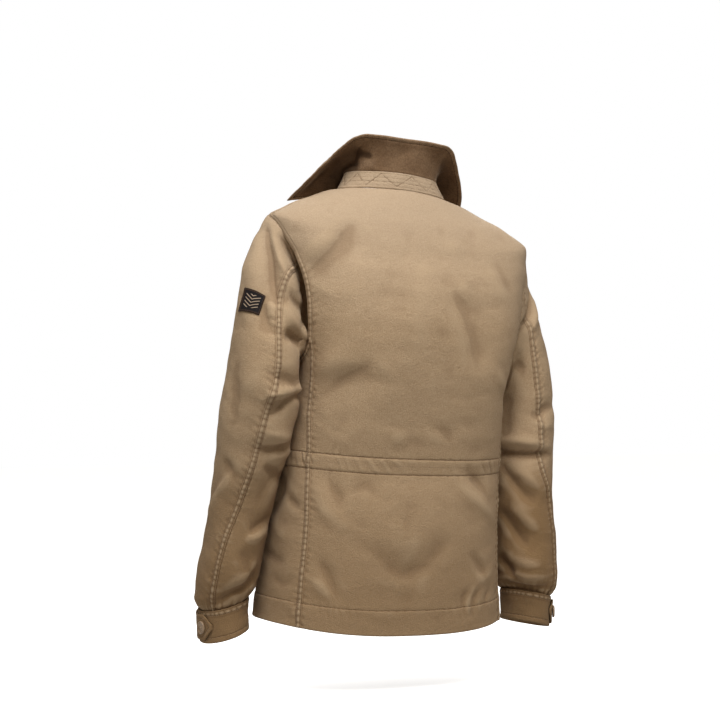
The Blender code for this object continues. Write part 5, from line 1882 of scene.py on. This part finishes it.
# %% Moleskin
def moleskin_material():
    material, tree, shader = new_look("moleskin")
    place, sewn, relief = on_object(tree), sewing(tree), attribute(tree, "relief")
    nap = remap(tree, noise(tree, place, 34.0, 5.0, 0.62), 0.3, 0.7)
    colour = tinted(tree, mix(tree, nap, (0.175, 0.100, 0.052), (0.265, 0.168, 0.096)), (
        # brushed fibres, painted highlight and shade, and the worn rim with a painted highlight
        (remap(tree, noise(tree, place, 700.0, 2.0), 0.35, 0.65), 0.30, (0.26, 0.17, 0.10)),
        # a painted highlight on raised cloth
        (remap(tree, relief, 0.55, 0.95), 0.40, (0.32, 0.215, 0.135)),
        # painted shade in hollows
        (remap(tree, relief, 0.44, 0.0), 0.75, (0.040, 0.020, 0.010)),
        # painted shade at the bend of the leaf
        (attribute(tree, "unfaded"), 0.66, (0.036, 0.018, 0.009)),
        # the worn rim, made lighter still by a painted highlight
        (remap(tree, attribute(tree, "row"), 0.0, -1.2), 0.55, (0.42, 0.29, 0.185)),
        # grooves with needle holes and painted shade, and fuzz
        (sewn["Dark"], 0.7, (0.040, 0.020, 0.010)),
        (remap(tree, noise(tree, place, 420.0, 3.0, 0.7), 0.36, 0.64), 0.45, (0.065, 0.034, 0.017)),
    ))
    normal = bumped(tree, (
        (noise(tree, place, 60.0, 4.0), 0.4, 0.0024), (noise(tree, place, 900.0, 2.0), 0.5, 0.0005),
    ))
    fill(tree, shader, {
        "Base Color": colour, "Normal": normal, "Roughness": 0.95, "Specular IOR Level": 0.1,
        "Sheen Weight": 0.45, "Sheen Roughness": 0.35, "Sheen Tint": (0.85, 0.68, 0.52, 1.0),
    })
    return material


moleskin = moleskin_material()
print("nodes in the moleskin:", len(moleskin.node_tree.nodes))

# %% Horn, patch and thread
PATCH_BORDER = 2.4
CHEVRON_STEEP, CHEVRON_PITCH = 0.55, 0.0024


def horn_material():
    material, tree, shader = new_look("horn")
    cloud = remap(tree, noise(tree, on_object(tree), 110.0, 4.0), 0.35, 0.68)
    colour = mix(tree, cloud, (0.21, 0.128, 0.070), (0.44, 0.315, 0.205))
    fill(tree, shader, {"Base Color": colour, "Roughness": 0.34, "Coat Weight": 0.15})
    return material


def patch_material():
    """A nearly black woven patch with a dark brown border and rows of pale plain chevrons."""
    material, tree, shader = new_look("patch")
    uv, weave = woven(tree, PATCH_THREADS)
    x = math_node(tree, "ABSOLUTE", split(tree, uv)["X"])
    y = math_node(tree, "SUBTRACT", split(tree, uv)["Y"], PATCH_HEIGHT / 2 * MM)
    upright = math_node(tree, "ABSOLUTE", y)
    past = [
        math_node(tree, "SUBTRACT", place, (size / 2 - PATCH_BORDER) * MM)
        for place, size in ((x, PATCH_WIDTH), (upright, PATCH_HEIGHT))]
    border = remap(tree, math_node(tree, "MAXIMUM", *past), 0.0, 0.0003)
    line = math_node(tree, "ADD", y, times(tree, x, CHEVRON_STEEP))
    line = math_node(tree, "PINGPONG", math_node(tree, "ADD", line, 0.0004), CHEVRON_PITCH)
    inside = times(tree, remap(tree, x, 0.0115, 0.0112), remap(tree, upright, 0.0098, 0.0095))
    chevron = times(tree, remap(tree, line, 0.0016, 0.0020), inside)
    colour = mix(tree, chevron, (0.012, 0.009, 0.010), (0.46, 0.35, 0.25))
    fill(tree, shader, {
        "Base Color": mix(tree, border, colour, (0.040, 0.022, 0.014)), "Roughness": 0.8,
        "Specular IOR Level": 0.2, "Normal": bumped(tree, [(weave["Height"], 0.5, 0.0003)]),
    })
    return material


horn, patch_cloth = horn_material(), patch_material()
for thread, colour in (
    (thread_material, (0.42, 0.295, 0.18)), (patch_thread, (0.055, 0.034, 0.022)),
):
    tree, shader = shader_of(thread)
    fill(tree, shader, {"Base Color": (*colour, 1.0), "Roughness": 0.7, "Sheen Weight": 0.2})
    print(thread.name, "is", colour)

# %% Which piece has which finish
LOOKS = {
    "collar_leaf": (moleskin, "brushed_cloth"), "sleeve_patch": (patch_cloth, "patch_twill"),
}
for name, piece in PIECES.items():
    look = (horn, "button_horn") if "button" in name else LOOKS.get(name, (canvas, "canvas"))
    piece.data.materials.clear()
    piece.data.materials.append(look[0])
print("finished pieces:", len(PIECES) + len(STITCHES) + 1)

# %% [markdown]
# ## Camera, light and floor
#
# The camera stands behind the jacket, towards the wearer's left, and looks level. A large soft area
# light from above and behind gives the shoulders their light and leaves the lower folds in shade. A
# second one lights the front, and a warm white world fills in. The floor is plain and pale.

# %% Camera, light and floor
AZIMUTH = math.radians(155)
FAR, CAMERA_HEIGHT, ASIDE = 3.0, -0.243, -0.0562
camera_data = bpy.data.cameras.new("camera")
camera_data.lens, camera_data.sensor_width = 101.35, 36.0
camera_data.clip_end = 50.0
camera = in_scene("camera", camera_data)
camera.location = (
    math.sin(AZIMUTH) * FAR + math.cos(AZIMUTH) * ASIDE,
    math.sin(AZIMUTH) * ASIDE - math.cos(AZIMUTH) * FAR, CAMERA_HEIGHT,
)
camera.rotation_euler = (math.pi / 2, 0.0, AZIMUTH)
bpy.context.scene.camera = camera

LIGHT_SIZE, LIGHT_TARGET = 1.2, Vector((0.0, 0.0, -0.05))
for name, place, power in (
    ("above", (0.42, 1.02, 1.52), 16.6), ("front", (-0.75, -1.55, 0.95), 10.0),
):
    data = bpy.data.lights.new(name, "AREA")
    data.size, data.energy, data.spread = LIGHT_SIZE, power, math.radians(100)
    lamp = in_scene(name, data)
    lamp.location = place
    lamp.rotation_euler = (LIGHT_TARGET - Vector(place)).to_track_quat("-Z", "Y").to_euler()

FLOOR_HALF, FLOOR_HEIGHT, FLOOR_GLOW, WORLD_FILL = 6, -0.72, 0.74, 0.34
floor_data = bpy.data.meshes.new("floor")
corners = [(x * FLOOR_HALF, y * FLOOR_HALF, FLOOR_HEIGHT) for x, y in (
    (-1, -1), (1, -1), (1, 1), (-1, 1))]
floor_data.from_pydata(corners, [], [(0, 1, 2, 3)])
floor = in_scene("floor", floor_data)
pale = bpy.data.materials.new("pale_floor")
tree, shader = shader_of(pale)
seen = add_node(tree, "ShaderNodeLightPath").outputs["Is Camera Ray"]
fill(tree, shader, {
    "Base Color": mix(tree, seen, (0.45, 0.45, 0.45), (0.9, 0.9, 0.9)), "Roughness": 0.9,
    "Emission Color": mix(tree, seen, (0.0, 0.0, 0.0), (FLOOR_GLOW,) * 3),
    "Emission Strength": 1.0,
})
floor_data.materials.append(pale)

world = bpy.data.worlds.new("studio")
bpy.context.scene.world = world
world.use_nodes = True
tree = world.node_tree
seen = add_node(tree, "ShaderNodeLightPath").outputs["Is Camera Ray"]
fill(tree, tree.nodes["Background"], {
    "Strength": remap(tree, seen, 0.0, 1.0, WORLD_FILL, 1.0),
    "Color": mix(tree, seen, (1.0, 0.92, 0.80), (1.0, 1.0, 1.0)),
})
bpy.context.scene.view_settings.view_transform = "Standard"

# %% [markdown]
# ## Flat sizes
#
# Each cloth piece has a row with the width and length of its cut and the area that it covers,
# measured along the cloth before folds were added. Numbers are written out and not taken from the
# finished mesh. The body hangs from the shoulders that wear it, and the other pieces hang from, or
# lie on, what they are sewn to, which each row names. The script only looks those pieces up and
# prints the total cloth.

# %% Flat sizes
CUTS = {
    "back": (0.505, 0.740, 0.2530, "hung", ()),
    "front_left": (0.328, 0.740, 0.1565, "hung", ("back",)),
    "front_right": (0.328, 0.728, 0.1533, "hung", ("back",)),
    "placket": (0.057, 0.447, 0.0255, "laid", ("front_left", "front_right")),
    "sleeve_left_upper": (0.249, 0.600, 0.0965, "hung", ("back", "front_left")),
    "sleeve_left_under": (0.288, 0.538, 0.0652, "hung", ("back", "front_left")),
    "sleeve_right_upper": (0.240, 0.548, 0.0903, "hung", ("back", "front_right")),
    "sleeve_right_under": (0.276, 0.474, 0.0557, "hung", ("back", "front_right")),
    "cuff_left": (0.254, 0.045, 0.0110, "hung", ("sleeve_left_upper", "sleeve_left_under")),
    "cuff_right": (0.255, 0.046, 0.0110, "hung", ("sleeve_right_upper", "sleeve_right_under")),
    "cuff_tab_left": (0.093, 0.036, 0.0029, "laid", ("cuff_left",)),
    "cuff_tab_right": (0.111, 0.037, 0.0034, "laid", ("cuff_right",)),
    "collar_stand": (0.377, 0.028, 0.0082, "draped", ("back", "front_left", "front_right")),
    "collar_leaf": (0.476, 0.102, 0.0231, "draped", ("collar_stand",)),
    "sleeve_patch": (0.036, 0.033, 0.0011, "laid", ("sleeve_left_upper",)),
}
for name, (width, length, area, held, under) in CUTS.items():
    [PIECES[other] for other in under]
print("sheets:", len(CUTS), "cloth cut:", round(sum(row[2] for row in CUTS.values()), 3), "m2")
